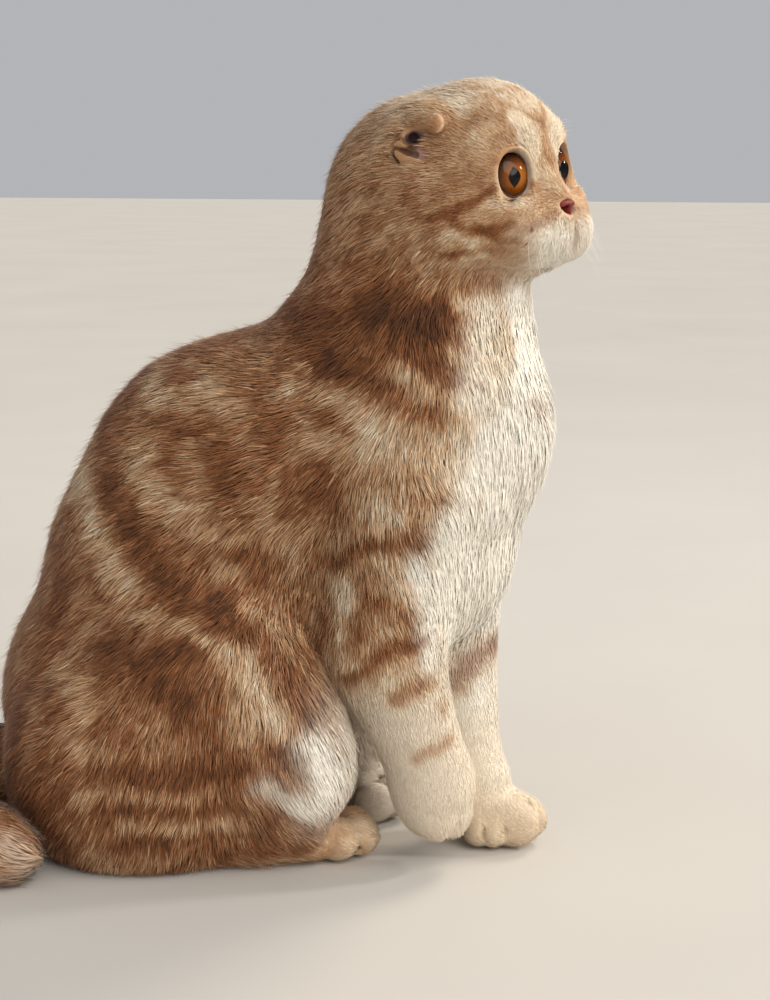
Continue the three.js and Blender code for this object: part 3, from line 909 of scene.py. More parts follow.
RIGHT_ARM_STROKES = (
    Stroke("elbow band", 0.7, 4.2, ((48, -55, 143), (59, -59, 150), (72, -62, 155), (91, -59, 158))),
    Stroke("elbow band's end", 0.45, 2.3, ((91, -58, 155), (96, -54, 146))),
    Stroke("arm pale", -0.55, 6, ((48, -54, 135), (55, -58, 132))),
    Stroke("arm blotch", 0.5, 6.4, ((65, -60, 139), (64, -60, 125), (61, -60, 112))),
    Stroke("arm blotch's branch", 0.5, 3.3, ((72, -60, 128), (81, -58, 123), (90, -53, 122))),
    Stroke("arm pale line", -0.5, 3.3, ((57, -58, 129), (52, -58, 115))),
    Stroke("back of the arm", 0.25, 4.2, ((45, -53, 125), (47, -55, 113))),
    Stroke("arm band", 0.8, 4.2, ((89, -52, 110), (80, -57, 108), (70, -60, 104), (54, -55, 89))),
    Stroke("forearm bar", 0.8, 4.2, ((92, -47, 92), (84, -53, 89), (77, -54, 85))),
    Stroke("forearm spot", 0.5, 2.8, ((97, -40, 81), (96, -42, 77))),
    Stroke("wrist bar", 0.62, 2.8, ((100, -39, 64), (95, -45, 60), (87, -48, 56))),
)
LEFT_ARM_STROKES = (
    Stroke("far arm band", 0.95, 7.4, ((90, 6, 78), (96, 8, 85), (102, 14, 91), (105, 25, 94), (98, 40, 92))),
    Stroke("far elbow band", 0.85, 4.2, ((48, 55, 143), (59, 59, 150), (72, 62, 155), (91, 59, 158))),
    Stroke("far arm blotch", 0.85, 7, ((65, 60, 139), (64, 60, 125), (66, 58, 112))),
    Stroke("far outer bar", 0.8, 3.3, ((70, 50, 84), (84, 46, 78), (96, 36, 76))),
    Stroke("far wrist bar", 0.6, 2.4, ((84, 30, 52), (98, 28, 50))),
)
HAUNCH_STROKES = (
    Stroke("top band", 0.6, 4.7, ((-76, -60, 108), (-58, -70, 104), (-34, -79, 103), (-10, -79, 107))),
    Stroke("pale rim", -0.7, 4.2, ((-55, -63, 118), (-33, -71, 118), (-12, -75, 114), (16, -75, 102))),
    Stroke("rear pale", -0.6, 6.5, ((-89, -58, 99), (-77, -71, 92), (-65, -81, 86), (-58, -88, 78))),
    Stroke("middle dark", 0.4, 7.4, ((-49, -80, 95), (-28, -84, 93), (-13, -85, 86))),
    Stroke("knee pale", -1.3, 9.4, ((15, -77, 101), (23, -77, 91), (27, -77, 80))),
    Stroke("knee dark", 0.6, 2.8, ((21, -72, 102), (31, -72, 90), (41, -69, 76))),
    Stroke("shin dark", 0.6, 4.7, ((23, -80, 68), (32, -77, 62), (39, -73, 57))),
    Stroke("shin pale", -0.7, 6, ((11, -83, 80), (18, -82, 68))),
    Stroke("lower band", 0.55, 3.5, ((-50, -96, 53), (-29, -94, 52), (-3, -87, 52), (16, -82, 56))),
    Stroke("rear mottle", -0.55, 5.1, ((-60, -94, 61), (-45, -95, 56))),
    Stroke("pale line", -0.5, 2.8, ((-57, -97, 41), (-29, -94, 42), (5, -83, 42))),
    Stroke("low dark", 0.5, 3.3, ((-48, -96, 36), (-17, -90, 36), (10, -80, 36))),
    Stroke("low pale", -0.6, 2.8, ((-39, -95, 29), (-13, -87, 27), (14, -77, 29))),
    Stroke("hem dark", 0.6, 3.5, ((-41, -93, 18), (-22, -89, 21), (-2, -81, 19))),
    Stroke("hem pale", -0.6, 3.2, ((-53, -85, 4), (-29, -85, 7), (-12, -80, 9))),
    Stroke("rear dark", 0.5, 7.4, ((-101, -64, 73), (-93, -84, 51), (-80, -91, 31), (-71, -90, 17))),
)
FOOT_STROKES = (
    Stroke("sole's edge", 1.1, 10.5, ((-20, -80, 12), (20, -73, 14), (32, -67, 14))),
    Stroke("toes", -0.3, 9, ((48, -42, 12), (56, -30, 12))),
)
TAIL_STROKES = (
    Stroke("top", 0.7, 8, ((-130, 0, 44), (-150, -10, 38), (-168, -40, 36), (-160, -74, 35), (-94, -92, 30))),
    Stroke("ring", 0.4, 5, ((-150, -28, 20), (-168, -20, 30), (-176, -10, 20))),
    Stroke("second ring", 0.4, 5, ((-150, -66, 20), (-168, -60, 34), (-182, -66, 20))),
)
WHITE_TRUNK = (
    Stroke(
        "chest", 1, 15.8,
        ((127, -28, 209), (124, -31, 187), (115, -35, 164), (107, -37, 142), (101, -27, 116)),
    ),
    Stroke("middle of the chest", 1, 24, ((136, 0, 215), (132, 0, 180), (118, 0, 145), (100, 0, 110))),
    Stroke("chest's side", 0.9, 8.4, ((116, -41, 201), (103, -52, 162), (97, -54, 149), (100, -43, 129))),
    Stroke("throat", 0.8, 9.3, ((124, -18, 260), (127, -14, 240), (129, -18, 225))),
    Stroke("throat's side", 0.6, 8, ((114, -36, 254), (112, -42, 238), (110, -45, 222))),
    Stroke("middle of the throat", 0.8, 14, ((122, 0, 268), (130, 0, 240), (134, 0, 220))),
    Stroke("belly", 0.9, 26, ((80, 0, 90), (40, 0, 46), (0, 0, 40))),
)
WHITE_ARM = (
    Stroke("front of the arm", 0.8, 6, ((88, -58, 145), (92, -53, 131), (92, -49, 112), (92, -48, 100))),
)
WHITE_HAUNCH = (
    Stroke("shin", 0.75, 8.4, ((43, -70, 62), (47, -67, 49), (45, -67, 37))),
    Stroke("shin's wedge", 0.6, 5.2, ((23, -79, 46), (32, -75, 41), (40, -69, 34))),
    Stroke("inside of the thigh", 1, 22, ((45, -42, 60), (50, -38, 35))),
)
WHITE_TAIL = (
    Stroke("underside", 0.35, 7, ((-82, -117, 21), (-76, -110, 10), (-110, -118, 6), (-150, -84, 4))),
)
HEAD_STROKES = (
    Stroke("crown pale", -0.6, 14, ((-12, -14, 36), (12, -12, 38), (38, -6, 30))),
    Stroke("brow stripe", 0.5, 1.9, ((39, -13, 31), (44, -6, 26), (47, 1, 21), (49, 8, 14))),
    Stroke("crown stripe", 0.45, 1.9, ((30, -18, 35), (36, -17, 32), (41, -21, 26))),
    Stroke("rear crown stripe", 0.4, 1.9, ((6, -17, 38), (21, -16, 38), (32, -9, 37))),
    Stroke("middle crown stripe", 0.4, 1.7, ((-20, -5, 36), (10, -4, 41), (34, -3, 37))),
    Stroke("forehead white", -0.75, 4.6, ((43, -16, 25), (47, -12, 18), (48, -10, 12))),
    Stroke("middle of the forehead", 0.35, 3, ((44, 0, 27), (49, 0, 16), (50, 0, 8))),
    Stroke("bridge white", -1.1, 2.1, ((46, -19, 17), (48, -15, 8), (50, -12, 1))),
    Stroke("between the eyes", 0.3, 1.9, ((49, -4, 11), (50, -6, 7))),
    Stroke("inner corner", 0.7, 1.6, ((50, -14, -2), (53, -13, -6))),
    Stroke("ear's end", 0.5, 4.2, ((10, -41, 27), (17, -43, 25))),
    Stroke("ear's rim", -0.7, 1.1, ((18.6, -42, 30.2), (22.4, -42, 27.6), (22.8, -42, 24), (20.4, -43, 21))),
    Stroke("temple pale", -0.5, 4.2, ((13, -24, 35), (24, -29, 30))),
    Stroke("cheek stripe", 0.75, 2.3, ((43, -37, -2), (38, -41, -7), (29, -46, -11), (19, -50, -14))),
    Stroke("low cheek stripe", 0.6, 2.1, ((49, -34, -18), (42, -39, -20), (34, -43, -22), (28, -47, -15))),
    Stroke("under the eye", -0.45, 2.8, ((41, -39, -9), (47, -35, -10), (51, -28, -9))),
    Stroke("cheek patch", -0.65, 3.1, ((24, -47, -23), (29, -45, -22), (34, -41, -25))),
    Stroke("cheek spot", 0.7, 1.9, ((15, -50, -27), (20, -46, -31), (30, -41, -31))),
    Stroke("jaw pale", -0.8, 1.9, ((29, -40, -33), (36, -35, -32))),
    Stroke("jaw stripe", 0.75, 2.1, ((22, -44, -36), (29, -38, -42), (37, -24, -46))),
    Stroke("jaw pale, lower", -0.8, 2.3, ((19, -45, -43), (27, -38, -48), (34, -28, -50))),
    Stroke("cheek", 0.2, 7, ((20, -50, -17), (38, -42, -13))),
    Stroke("side of the head", 0.3, 6.5, ((9, -50, -6), (22, -46, -2), (34, -41, 2))),
    Stroke("rear of the cheek", 0.25, 5.6, ((-11, -52, -18), (3, -52, -31))),
    Stroke("before the ear", 0.3, 3.7, ((10, -41, 15), (19, -40, 13))),
    Stroke("pad pale", -0.9, 4.2, ((62, -14, -23), (59, -20, -26), (52, -16, -36))),
    Stroke("pad tan", 0.35, 2.3, ((52, -31, -21), (57, -23, -18), (59, -13, -15))),
    *whisker_roots(
        (55, -27, -21), (58, -21, -20), (60, -15, -18), (53, -29, -27), (57, -23, -24), (60, -18, -22)
    ),
    Stroke("side of the nose", 0.35, 1.9, ((55, -8, -6), (57, -7, -9))),
    Stroke(
        "round the eye", -0.5, 1.4, ((43, -33, 6), (44, -35, -1), (48, -33, -6), (46, -17, -5), (48, -13, 3))
    ),
    Stroke("side of the muzzle", 0.5, 1.9, ((36, -43, -18), (44, -36, -24), (51, -31, -26))),
)


@dataclass
class Markings:
    """The tabby pattern: how red each place of the coat is, and how white."""

    body: Body
    base: tuple[float, ...] = (0.54, 0.33, 0.26, 0.26, 0.6, 0.6, 0.26, 0.26, 0.5)  # one for each Part
    red_strength: float = 0.56
    pale_strength: float = 0.48
    soft_red: float = 0.38  # on the trunk and haunches
    soft_pale: float = 0.40
    head_red: float = 0.44
    warp_reach: float = 2.2  # mm by which noise moves the strokes' edges
    fray_reach: float = 1.3
    head_fray: float = 0.7
    unevenness: float = 0.11

    def __post_init__(self) -> None:
        """Makes the noise that keeps the pattern from being clean and alike on both sides."""
        self.warp = Noise(15.0, 1, 3)
        self.fray = Noise(4.5, 2, 3)
        self.mottle = Noise(11.0, 3)
        self.fleck = Noise(4.0, 4)

    @staticmethod
    def sum_of(strokes: Sequence[Stroke], places: Points, share: np.ndarray) -> np.ndarray:
        """The strokes' colour at the places that have a share in them."""
        total = np.zeros(len(places), np.float32)
        near = share > 0.02
        total[near] = sum(stroke.at(places[near]) for stroke in strokes)
        return total

    def __call__(self, p: Points) -> tuple[np.ndarray, np.ndarray]:
        """The pattern at points on the outside of the coat.

        Args:
            p: The points.

        Returns:
            How red they are and how white, each from 0 to 1.
        """
        d = self.body.distances(p)
        shares = self.body.shares(d)
        fray = self.fray(p)
        moved = p + self.warp_reach * self.warp(p) + self.fray_reach * fray
        near = one_side(moved, -1)
        on_head = one_side(self.body.head.axes.inwards(p + self.head_fray * fray), -1)
        red, white, tinted = np.zeros((3, len(p)), np.float32)
        for share, base in zip(shares, self.base):
            red += share * base
        trunk, head, right_arm, left_arm = shares[:4]
        haunch, foot, tail = shares[4] + shares[5], shares[6] + shares[7], shares[8]
        upper = trunk + right_arm + left_arm
        groups = [
            (TRUNK_STROKES, near, upper + haunch * 0.5),
            (RIGHT_ARM_STROKES, moved, trunk + right_arm),
            (LEFT_ARM_STROKES, moved, trunk + left_arm),
            (HAUNCH_STROKES, near, haunch),
            (FOOT_STROKES, near, foot),
            (TAIL_STROKES, moved, tail),
            (HEAD_STROKES, on_head, head),
        ]
        for strokes, places, share in groups:
            total = np.clip(self.sum_of(strokes, places, share), -1.1, 1.0)
            pale, strong = self.pale_strength, self.red_strength
            if strokes is TRUNK_STROKES or strokes is HAUNCH_STROKES:
                pale, strong = self.soft_pale, self.soft_red
            if strokes is HEAD_STROKES:
                strong = self.head_red
            red += share * np.where(total < 0, pale, strong) * total
            tinted += share * np.maximum(total, 0.0)
        whites = [
            (WHITE_TRUNK, near, upper),
            (WHITE_ARM, near, right_arm + left_arm),
            (WHITE_HAUNCH, near, haunch),
            (WHITE_TAIL, moved, tail),
        ]
        for strokes, places, share in whites:
            white += share * np.minimum(self.sum_of(strokes, places, share), 1.1)
        # the lower legs fade to cream, and the muzzle and chin to white
        legs = (right_arm + left_arm) * smooth(-p[:, 2], -118, -80)
        red -= 0.24 * legs
        white += (0.5 * left_arm + 0.4 * right_arm) * smooth(-p[:, 2], -100, -70) * smooth(p[:, 2], 14, 34)
        white += 0.8 * shares[Part.FOOT_LEFT] + 0.25 * smooth(-p[:, 2], -34, -20) * right_arm
        muzzle = head * smooth(on_head[:, 0], 44, 60) * smooth(-on_head[:, 2], 12, 26)
        chin = head * smooth(on_head[:, 0], 20, 45) * smooth(-on_head[:, 2], 30, 42)
        white += 0.75 * muzzle + 0.6 * chin
        mottle = self.mottle(p)
        lively = 1.0 - 0.6 * np.clip(white, 0, 1)
        red += lively * self.unevenness * (mottle + self.fleck(p)) * (1.0 - 0.5 * legs)
        untinted = 1.0 - 0.75 * np.clip(tinted, 0, 1)
        white = np.clip(white, 0.0, 1.0) * (1.0 + 0.10 * mottle) * untinted
        return np.clip(red, 0.02, 1.0), np.clip(white, 0.0, 1.0)


# Meshes


def linked(name: str, data: bpy.types.ID) -> bpy.types.Object:
    """A new object in the scene that holds a mesh, a light or a camera."""
    made = bpy.data.objects.new(name, data)
    bpy.context.scene.collection.objects.link(made)
    return made


def new_piece(name: str, places: Points, faces: np.ndarray, material: Material) -> Piece:
    """A mesh object made of arrays.

    Args:
        name: The piece's name.
        places: Corners, in metres in the row's frame.
        faces: Corner numbers of each face, all with as many corners.
        material: What it wears.

    Returns:
        The object, linked to the scene.
    """
    mesh = bpy.data.meshes.new(name)
    sides = faces.shape[1]
    mesh.vertices.add(len(places))
    mesh.vertices.foreach_set("co", np.asarray(places, np.float32).ravel())
    mesh.loops.add(faces.size)
    mesh.loops.foreach_set("vertex_index", np.asarray(faces, np.int32).ravel())
    mesh.polygons.add(len(faces))
    mesh.polygons.foreach_set("loop_start", np.arange(0, faces.size, sides, dtype=np.int32))
    mesh.update(calc_edges=True)
    mesh.polygons.foreach_set("use_smooth", np.ones(len(faces), bool))
    mesh.materials.append(material)
    return linked(name, mesh)


def dress(piece: Piece, slot: str, *nodes: str) -> None:
    """Gives a piece to the cat's one body and hides the solids of the nodes that it stands for."""
    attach(piece, "root")
    if nodes:
        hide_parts(*nodes)


def number_attribute(mesh: bpy.types.Mesh, name: str, values: np.ndarray) -> None:
    """Writes one number for each vertex."""
    layer = mesh.attributes.new(name=name, type="FLOAT", domain="POINT")
    layer.data.foreach_set("value", values.astype(np.float32))


def map_corners(mesh: bpy.types.Mesh, name: str, places: np.ndarray) -> None:
    """Writes a UV map: one place for each corner of each face."""
    layer = mesh.uv_layers.new(name=name)
    layer.uv.foreach_set("vector", places.astype(np.float32).ravel())


def colour_attribute(mesh: bpy.types.Mesh, name: str, values: np.ndarray) -> None:
    """Writes one colour for each vertex, from an array with three columns."""
    layer = mesh.color_attributes.new(name=name, type="FLOAT_COLOR", domain="POINT")
    data = np.ones((len(values), 4), np.float32)
    data[:, :3] = values
    layer.data.foreach_set("color", data.ravel())


def as_triangles(quads: np.ndarray) -> np.ndarray:
    """Each quad as two triangles."""
    return np.concatenate([quads[:, [0, 1, 2]], quads[:, [0, 2, 3]]])


def outward(places: Points, faces: np.ndarray) -> np.ndarray:
    """The faces of a closed surface, turned round if they face inwards."""
    a, b, c = ((places - places.mean(0))[faces[:, i]] for i in range(3))
    volume = float((a * np.cross(b, c)).sum())
    return faces if volume > 0 else faces[:, ::-1]


def surface(grid: np.ndarray, ways: Sequence[np.ndarray]) -> tuple[Points, np.ndarray]:
    """The surface at which a grid of distances passes through 0.

    Args:
        grid: Distances at the knots.
        ways: The knots' places along each axis.

    Returns:
        Corners and the triangles between them.
    """
    level = openvdb.FloatGrid()
    level.background = 10.0
    level.copyFromArray(grid.astype(np.float32))
    corners, triangles, quads = level.convertToPolygons(isovalue=0.0, adaptivity=0.0)
    faces = np.concatenate([triangles.reshape(-1, 3), as_triangles(quads)]).astype(np.int64)
    corners = np.asarray(corners, np.float64)
    columns = [np.interp(corners[:, i], np.arange(len(way)), way) for i, way in enumerate(ways)]
    places = np.stack(columns, 1)
    return places, outward(places, faces)


def refined(places: Points, faces: np.ndarray, wanted: Callable[[Points], np.ndarray]) -> tuple:
    """Halves the chosen edges of a closed surface and fits new triangles to them.

    Args:
        places: Corners.
        faces: Triangles.
        wanted: Tells which edges to halve, from their middles.

    Returns:
        Corners and triangles.
    """
    sides = np.stack([faces, np.roll(faces, -1, 1)], -1).reshape(-1, 2)
    edges, number = np.unique(np.sort(sides, 1), axis=0, return_inverse=True)
    middle = places[edges].mean(1)
    halved = wanted(middle)
    name = np.where(halved, len(places) + np.cumsum(halved) - 1, -1)
    new = name[number.ravel()].reshape(-1, 3)
    count = (new >= 0).sum(1)
    made = [faces[count == 0]]
    for turn in range(3):
        f, m = np.roll(faces, -turn, 1), np.roll(new, -turn, 1)
        one = (count == 1) & (m[:, 0] >= 0)
        a, b, c = f[one].T
        ab = m[one, 0]
        made += [np.stack([a, ab, c], 1), np.stack([ab, b, c], 1)]
        two = (count == 2) & (m[:, 2] < 0)
        a, b, c = f[two].T
        ab, bc = m[two, 0], m[two, 1]
        made += [np.stack([ab, b, bc], 1), np.stack([a, ab, bc], 1), np.stack([a, bc, c], 1)]
    a, b, c = faces[count == 3].T
    ab, bc, ca = new[count == 3].T
    made += [np.stack(row, 1) for row in ((a, ab, ca), (ab, b, bc), (ca, bc, c), (ab, bc, ca))]
    return np.concatenate([places, middle[halved]]), np.concatenate(made)


@dataclass
class Skin:
    """The one skin that the tufts grow from, laid inside the solids by the coat's depth."""

    body: Body
    markings: Markings
    coarse: float = 2.9
    fine: float = 1.4
    stride: int = 4

    def ways(self) -> list[np.ndarray]:
        """The grid's knots along each axis, closer together where the head and the forelegs are."""
        rows = [(-196, 28, 160, 172), (-132, -60, 60, 104), (-4, 252, 366, 370)]
        made = []
        for low, first, last, high in rows:
            before = np.arange(low, first, self.coarse)
            within = np.arange(first, last, self.fine)
            after = np.arange(last, high + self.coarse, self.coarse)
            made.append(np.concatenate([before, within, after]))
        return made

    def grid(self, ways: Sequence[np.ndarray]) -> np.ndarray:
        """Distances to the skin at the knots: exact near it, and rough with the right sign elsewhere."""
        rough = [way[:: self.stride] for way in ways]
        knots = np.stack(np.meshgrid(*rough, indexing="ij"), -1).reshape(-1, 3)
        values = self.body.skin(knots.astype(np.float32)).reshape([len(way) for way in rough])
        for axis, way in enumerate(ways):
            values = values.repeat(self.stride, axis).take(np.arange(len(way)), axis)
        near = np.argwhere(np.abs(values) < 1.3 * self.stride * self.coarse)
        places = np.stack([way[near[:, i]] for i, way in enumerate(ways)], 1).astype(np.float32)
        values[tuple(near.T)] = self.body.skin(places)
        return values

    def settled(self, places: Points) -> Points:
        """Corners moved onto the skin."""
        for _ in range(2):
            slope = self.body.slope(places)
            size = np.maximum((slope**2).sum(1), 0.2)
            step = np.clip(self.body.skin(places) / size, -0.8, 0.8)
            places = places - step[:, None] * slope
        return places.astype(np.float32)

    def build(self, material: Material) -> Piece:
        """Makes the skin and keeps its corners, normals, triangles and markings for the coat.

        Args:
            material: What it wears.

        Returns:
            The piece.
        """
        ways = self.ways()
        places, faces = surface(self.grid(ways), ways)
        places = places.astype(np.float32)
        places = self.settled(places)
        for reach in (1.6, 1.0):
            places, faces = refined(places, faces, lambda p, reach=reach: self.body.detailed(p) < reach)
            places = self.settled(places)
        self.places, self.faces = places, faces
        self.normals = unit(self.body.slope(places))
        depth = self.body.coat_depth(places, self.body.distances(places))
        self.red, self.white = self.markings(places + self.normals * depth[:, None])
        q = self.body.head.axes.inwards(places)
        near_head = self.body.fields[Part.HEAD](places) < 8.0
        self.bare = np.where(near_head, self.body.head.bare(q), 0.0)
        self.hairless = near_head & self.body.head.hairless(q)
        self.part = self.body.distances(places[faces].mean(1)).argmin(0)
        self.atlas = Atlas(self)
        piece = new_piece("skin", in_row(places), faces, material)
        # painted shade in the skin's hollows and furrows
        number_attribute(piece.data, TONE_AND_SHADE, self.body.buried(places))
        colour_attribute(piece.data, MARKINGS_AND_SHADE, np.stack([self.red, self.white, self.bare], 1))
        map_corners(piece.data, UV_NAME, self.atlas.corners())
        return piece


class Atlas:
    """An unwrap of the skin: each part's six sides are laid flat and packed side by side."""

    MARGIN = 5.0  # mm between charts

    def __init__(self, skin: Skin) -> None:
        """Sorts the skin's triangles into charts and packs them.

        Args:
            skin: The skin, with its places, faces and parts.
        """
        corners = skin.places[skin.faces]
        normal = np.cross(corners[:, 1] - corners[:, 0], corners[:, 2] - corners[:, 0])
        axis = np.abs(normal).argmax(1)
        side = normal[np.arange(len(normal)), axis] > 0
        self.skin, self.axis = skin, axis
        self.chart = (skin.part * 3 + axis) * 2 + side
        self.shift = np.zeros((len(Part) * 6, 2))
        flat = self.flat(corners, axis)
        boxes = []
        for chart in np.unique(self.chart):
            inside = flat[self.chart == chart].reshape(-1, 2)
            boxes.append((chart, inside.min(0), np.ptp(inside, axis=0) + self.MARGIN))
        boxes.sort(key=lambda box: -box[2][1])
        width = 1.12 * math.sqrt(sum(size[0] * size[1] for _, _, size in boxes))
        x = y = row = 0.0
        for chart, low, size in boxes:
            if x and x + size[0] > width:
                x, y, row = 0.0, y + row, 0.0
            self.shift[chart] = (x, y) - low
            x, row = x + size[0], max(row, size[1])
        self.scale = 0.98 / max(width, y + row)

    @staticmethod
    def flat(points: Points, axis: np.ndarray) -> np.ndarray:
        """Points seen along an axis: the other two of their numbers."""
        pairs = np.array([[1, 2], [0, 2], [0, 1]])[axis]
        return np.take_along_axis(points, pairs[:, None] if points.ndim == 3 else pairs, -1)

    def corners(self) -> np.ndarray:
        """The place on the unwrap of each triangle's corners."""
        places = self.flat(self.skin.places[self.skin.faces], self.axis)
        return ((places + self.shift[self.chart][:, None]) * self.scale + 0.01).reshape(-1, 2)

    def at(self, points: Points, face: np.ndarray) -> np.ndarray:
        """The place on the unwrap of points that lie on given triangles."""
        return (self.flat(points, self.axis[face]) + self.shift[self.chart[face]]) * self.scale + 0.01


# The coat


FAR = math.inf  # no limit
FACE_FROM = 14.0  # mm along the head
NECK_FROM = 226.0  # mm above the floor
CHEST_FROM = 48.0  # mm along the body


@dataclass(frozen=True)
class Region:
    """One piece of the coat, and how many tufts it has.

    It covers the skin's triangles of these parts whose middles lie within limits, in the head's axes for the
    head and else in the body's.
    """

    name: str
    slot: str
    tufts: int
    parts: tuple[Part, ...]
    low: Triple = (-FAR, -FAR, -FAR)
    high: Triple = (FAR, FAR, FAR)

    def covers(self, part: np.ndarray, p: Points, q: Points) -> np.ndarray:
        """Which triangles it covers.

        Args:
            part: The number of each triangle's part.
            p: Their middles.
            q: The same in the head's axes.

        Returns:
            True or False for each.
        """
        at = q if Part.HEAD in self.parts else p
        inside = (at > np.array(self.low)).all(1) & (at <= np.array(self.high)).all(1)
        return inside & np.isin(part, self.parts)


REGIONS = (
    Region("coat_face", "red_coat", 33000, (Part.HEAD,), low=(FACE_FROM, -FAR, -FAR)),
    Region("coat_crown", "red_coat", 25000, (Part.HEAD,), high=(FACE_FROM, FAR, FAR)),
    Region("coat_neck", "red_coat", 28000, (Part.TRUNK,), (-FAR, -FAR, NECK_FROM)),
    Region("coat_chest", "cream_coat", 28000, (Part.TRUNK,), (CHEST_FROM, -FAR, -FAR), (FAR, FAR, NECK_FROM)),
    Region("coat_back_right", "red_coat", 33000, (Part.TRUNK,), high=(CHEST_FROM, 0, NECK_FROM)),
    Region("coat_back_left", "red_coat", 16000, (Part.TRUNK,), (-FAR, 0, -FAR), (CHEST_FROM, FAR, NECK_FROM)),
    Region("coat_haunch_right", "red_coat", 31000, (Part.HAUNCH_RIGHT,)),
    Region("coat_haunch_left", "red_coat", 13000, (Part.HAUNCH_LEFT,)),
    Region("coat_forelegs", "cream_coat", 29000, (Part.FORELEG_RIGHT, Part.FORELEG_LEFT)),
    Region("coat_feet_and_tail", "cream_coat", 16000, (Part.FOOT_RIGHT, Part.FOOT_LEFT, Part.TAIL)),
)


@dataclass
class Coat:
    """The fur: thin bent tufts that grow from the skin and lie along the body."""

    skin: Skin
    lie: CoatLie
    root_angle: float = 29.0  # degrees from the skin, where a tuft leaves it
    tip_angle: float = 9.5
    stray: float = 0.07  # share of the tufts that stand out from the rest
    buried: float = 0.5  # depth of the root under the skin
    bend_at: float = 0.4  # share of its length at which a tuft bends
    patch: float = 0.003  # size of a tuft on the unwrap
    lowest: float = 1.2  # height under which none grows
    drift_sway: float = 0.34  # sideways lean of wide drifts, of clumps and of single tufts
    clump_sway: float = 0.16
    own_sway: float = 0.08
    white_calm: float = 0.62  # how much less white fur sways and strays
    lengths: tuple[float, float] = (0.78, 1.2)  # of the shortest and longest, for the mean
    stray_angles: tuple[float, float] = (5.0, 28.0)
    brow_angle: float = 9.0  # how much further the brow's hairs stand out
    widths: tuple[float, float] = (0.75, 1.25)
    white_width: float = 1.2  # how much wider white tufts are, where they are long
    ridge: float = 0.2  # height of a tuft's ridge for its width
    white_ridge: float = 0.12  # how much lower it is on white
    light_spread: float = 0.30
    red_spread: float = 0.09

    def __post_init__(self) -> None:
        """Makes the noise that parts the coat into clumps."""
        self.drift = Noise(11.0, 11, 3)
        self.clump = Noise(3.2, 12, 3)
        self.stand = Noise(6.0, 13)
        self.streak = Noise(2.2, 14, 2)

    def roots(self, region: Region, rng: np.random.Generator) -> tuple[Points, np.ndarray, np.ndarray]:
        """Even places for a region's tufts.

        Args:
            region: The piece of the coat.
            rng: Its source of random numbers.

        Returns:
            Places, their triangles, and their shares of the triangles' corners.
        """
        skin = self.skin
        corners = skin.places[skin.faces]
        middle = corners.mean(1)
        q = skin.body.head.axes.inwards(middle)
        chosen = region.covers(skin.part, middle, q)
        across = np.cross(corners[:, 1] - corners[:, 0], corners[:, 2] - corners[:, 0])
        area = np.linalg.norm(across, axis=1) / 2
        hidden = (middle[:, 2] < self.lowest) | skin.hairless[skin.faces].any(1)
        wanted = area * chosen * ~hidden
        # the muzzle and brow have more tufts
        wanted *= np.where(skin.part == Part.HEAD, 1.0 + 1.2 * smooth(q[:, 0], 20, 45), 1.0)
        tries = int(region.tufts * 2.2)
        face = rng.choice(len(wanted), tries, p=wanted / wanted.sum())
        u, v = rng.random((2, tries))
        over = u + v > 1
        u, v = np.where(over, 1 - u, u), np.where(over, 1 - v, v)
        weights = np.stack([1 - u - v, u, v], 1).astype(np.float32)
        places = (corners[face] * weights[..., None]).sum(1)
        # one to a cell, so that they are spread evenly
        density = wanted[face] / np.maximum(area[face], 1e-6)
        cell = np.sqrt(wanted.sum() / region.tufts / density) * 0.93
        keys = np.floor(places / cell[:, None]).astype(np.int64)
        mixed = keys @ np.array([73856093, 19349663, 83492791]) + np.round(cell * 20).astype(np.int64)
        _, first = np.unique(mixed, return_index=True)
        kept = rng.permutation(first)[: region.tufts]
        return places[kept], face[kept], weights[kept]

    @staticmethod
    def length(depth: np.ndarray) -> np.ndarray:
        """How long tufts are, from the depth of the coat round them."""
        return np.interp(depth, [0.8, 1.2, 1.8, 2.4, 3.2], [2.6, 4.0, 6.2, 8.4, 10.6])

    def grow(self, region: Region, material: Material) -> Piece:
        """Makes one piece of the coat.

        Args:
            region: Which piece.
            material: What it wears.

        Returns:
            The piece.
        """
        rng = np.random.default_rng(SEED * 100 + REGIONS.index(region))
        p, face, weights = self.roots(region, rng)
        skin, count = self.skin, len(p)
        corner = skin.faces[face]
        normal = unit((skin.normals[corner] * weights[..., None]).sum(1))
        lie = self.lie(p, normal)
        side = np.cross(normal, lie)
        d = skin.body.distances(p)
        depth = skin.body.coat_depth(p, d)
        on_head = d.argmin(0) == Part.HEAD
        short = 1.0 - smooth(depth, 0.8, 2.7)
        sway = self.drift_sway * self.drift(p) + self.clump_sway * self.clump(p)
        sway = sway * (1.0 - 0.65 * short)[:, None] + rng.normal(0, self.own_sway, (count, 3))
        red, white = skin.markings((p + normal * depth[:, None]).astype(np.float32))
        calm = 1.0 - self.white_calm * white
        lie = unit(lie + (calm * sway[:, 0])[:, None] * side)
        side = np.cross(normal, lie)
        q = skin.body.head.axes.inwards(p)
        brow = np.where(on_head, skin.body.head.brow(q), 0.0)
        length = self.length(depth) * rng.uniform(*self.lengths, count) * (1.0 + 0.14 * self.stand(p))
        length = np.where(on_head, length * skin.body.head.fur_length(q), length) * (1.0 + 0.5 * brow)
        stray = np.where(rng.random(count) < self.stray, rng.uniform(*self.stray_angles, count), 0.0)
        stray = stray * calm + self.brow_angle * brow
        uneven = 0.3 * sway[:, 2] + 0.14 * rng.normal(0, 1, count).clip(-1.5, 1.5)
        lift = 1.0 + calm * uneven - 0.5 * white
        first = np.radians(self.root_angle * (1 - 0.5 * short) * lift.clip(0.5, 2.0) + stray)
        last = np.radians(self.tip_angle * (1 - 0.5 * short) * lift.clip(0.2, 2.5) + stray)

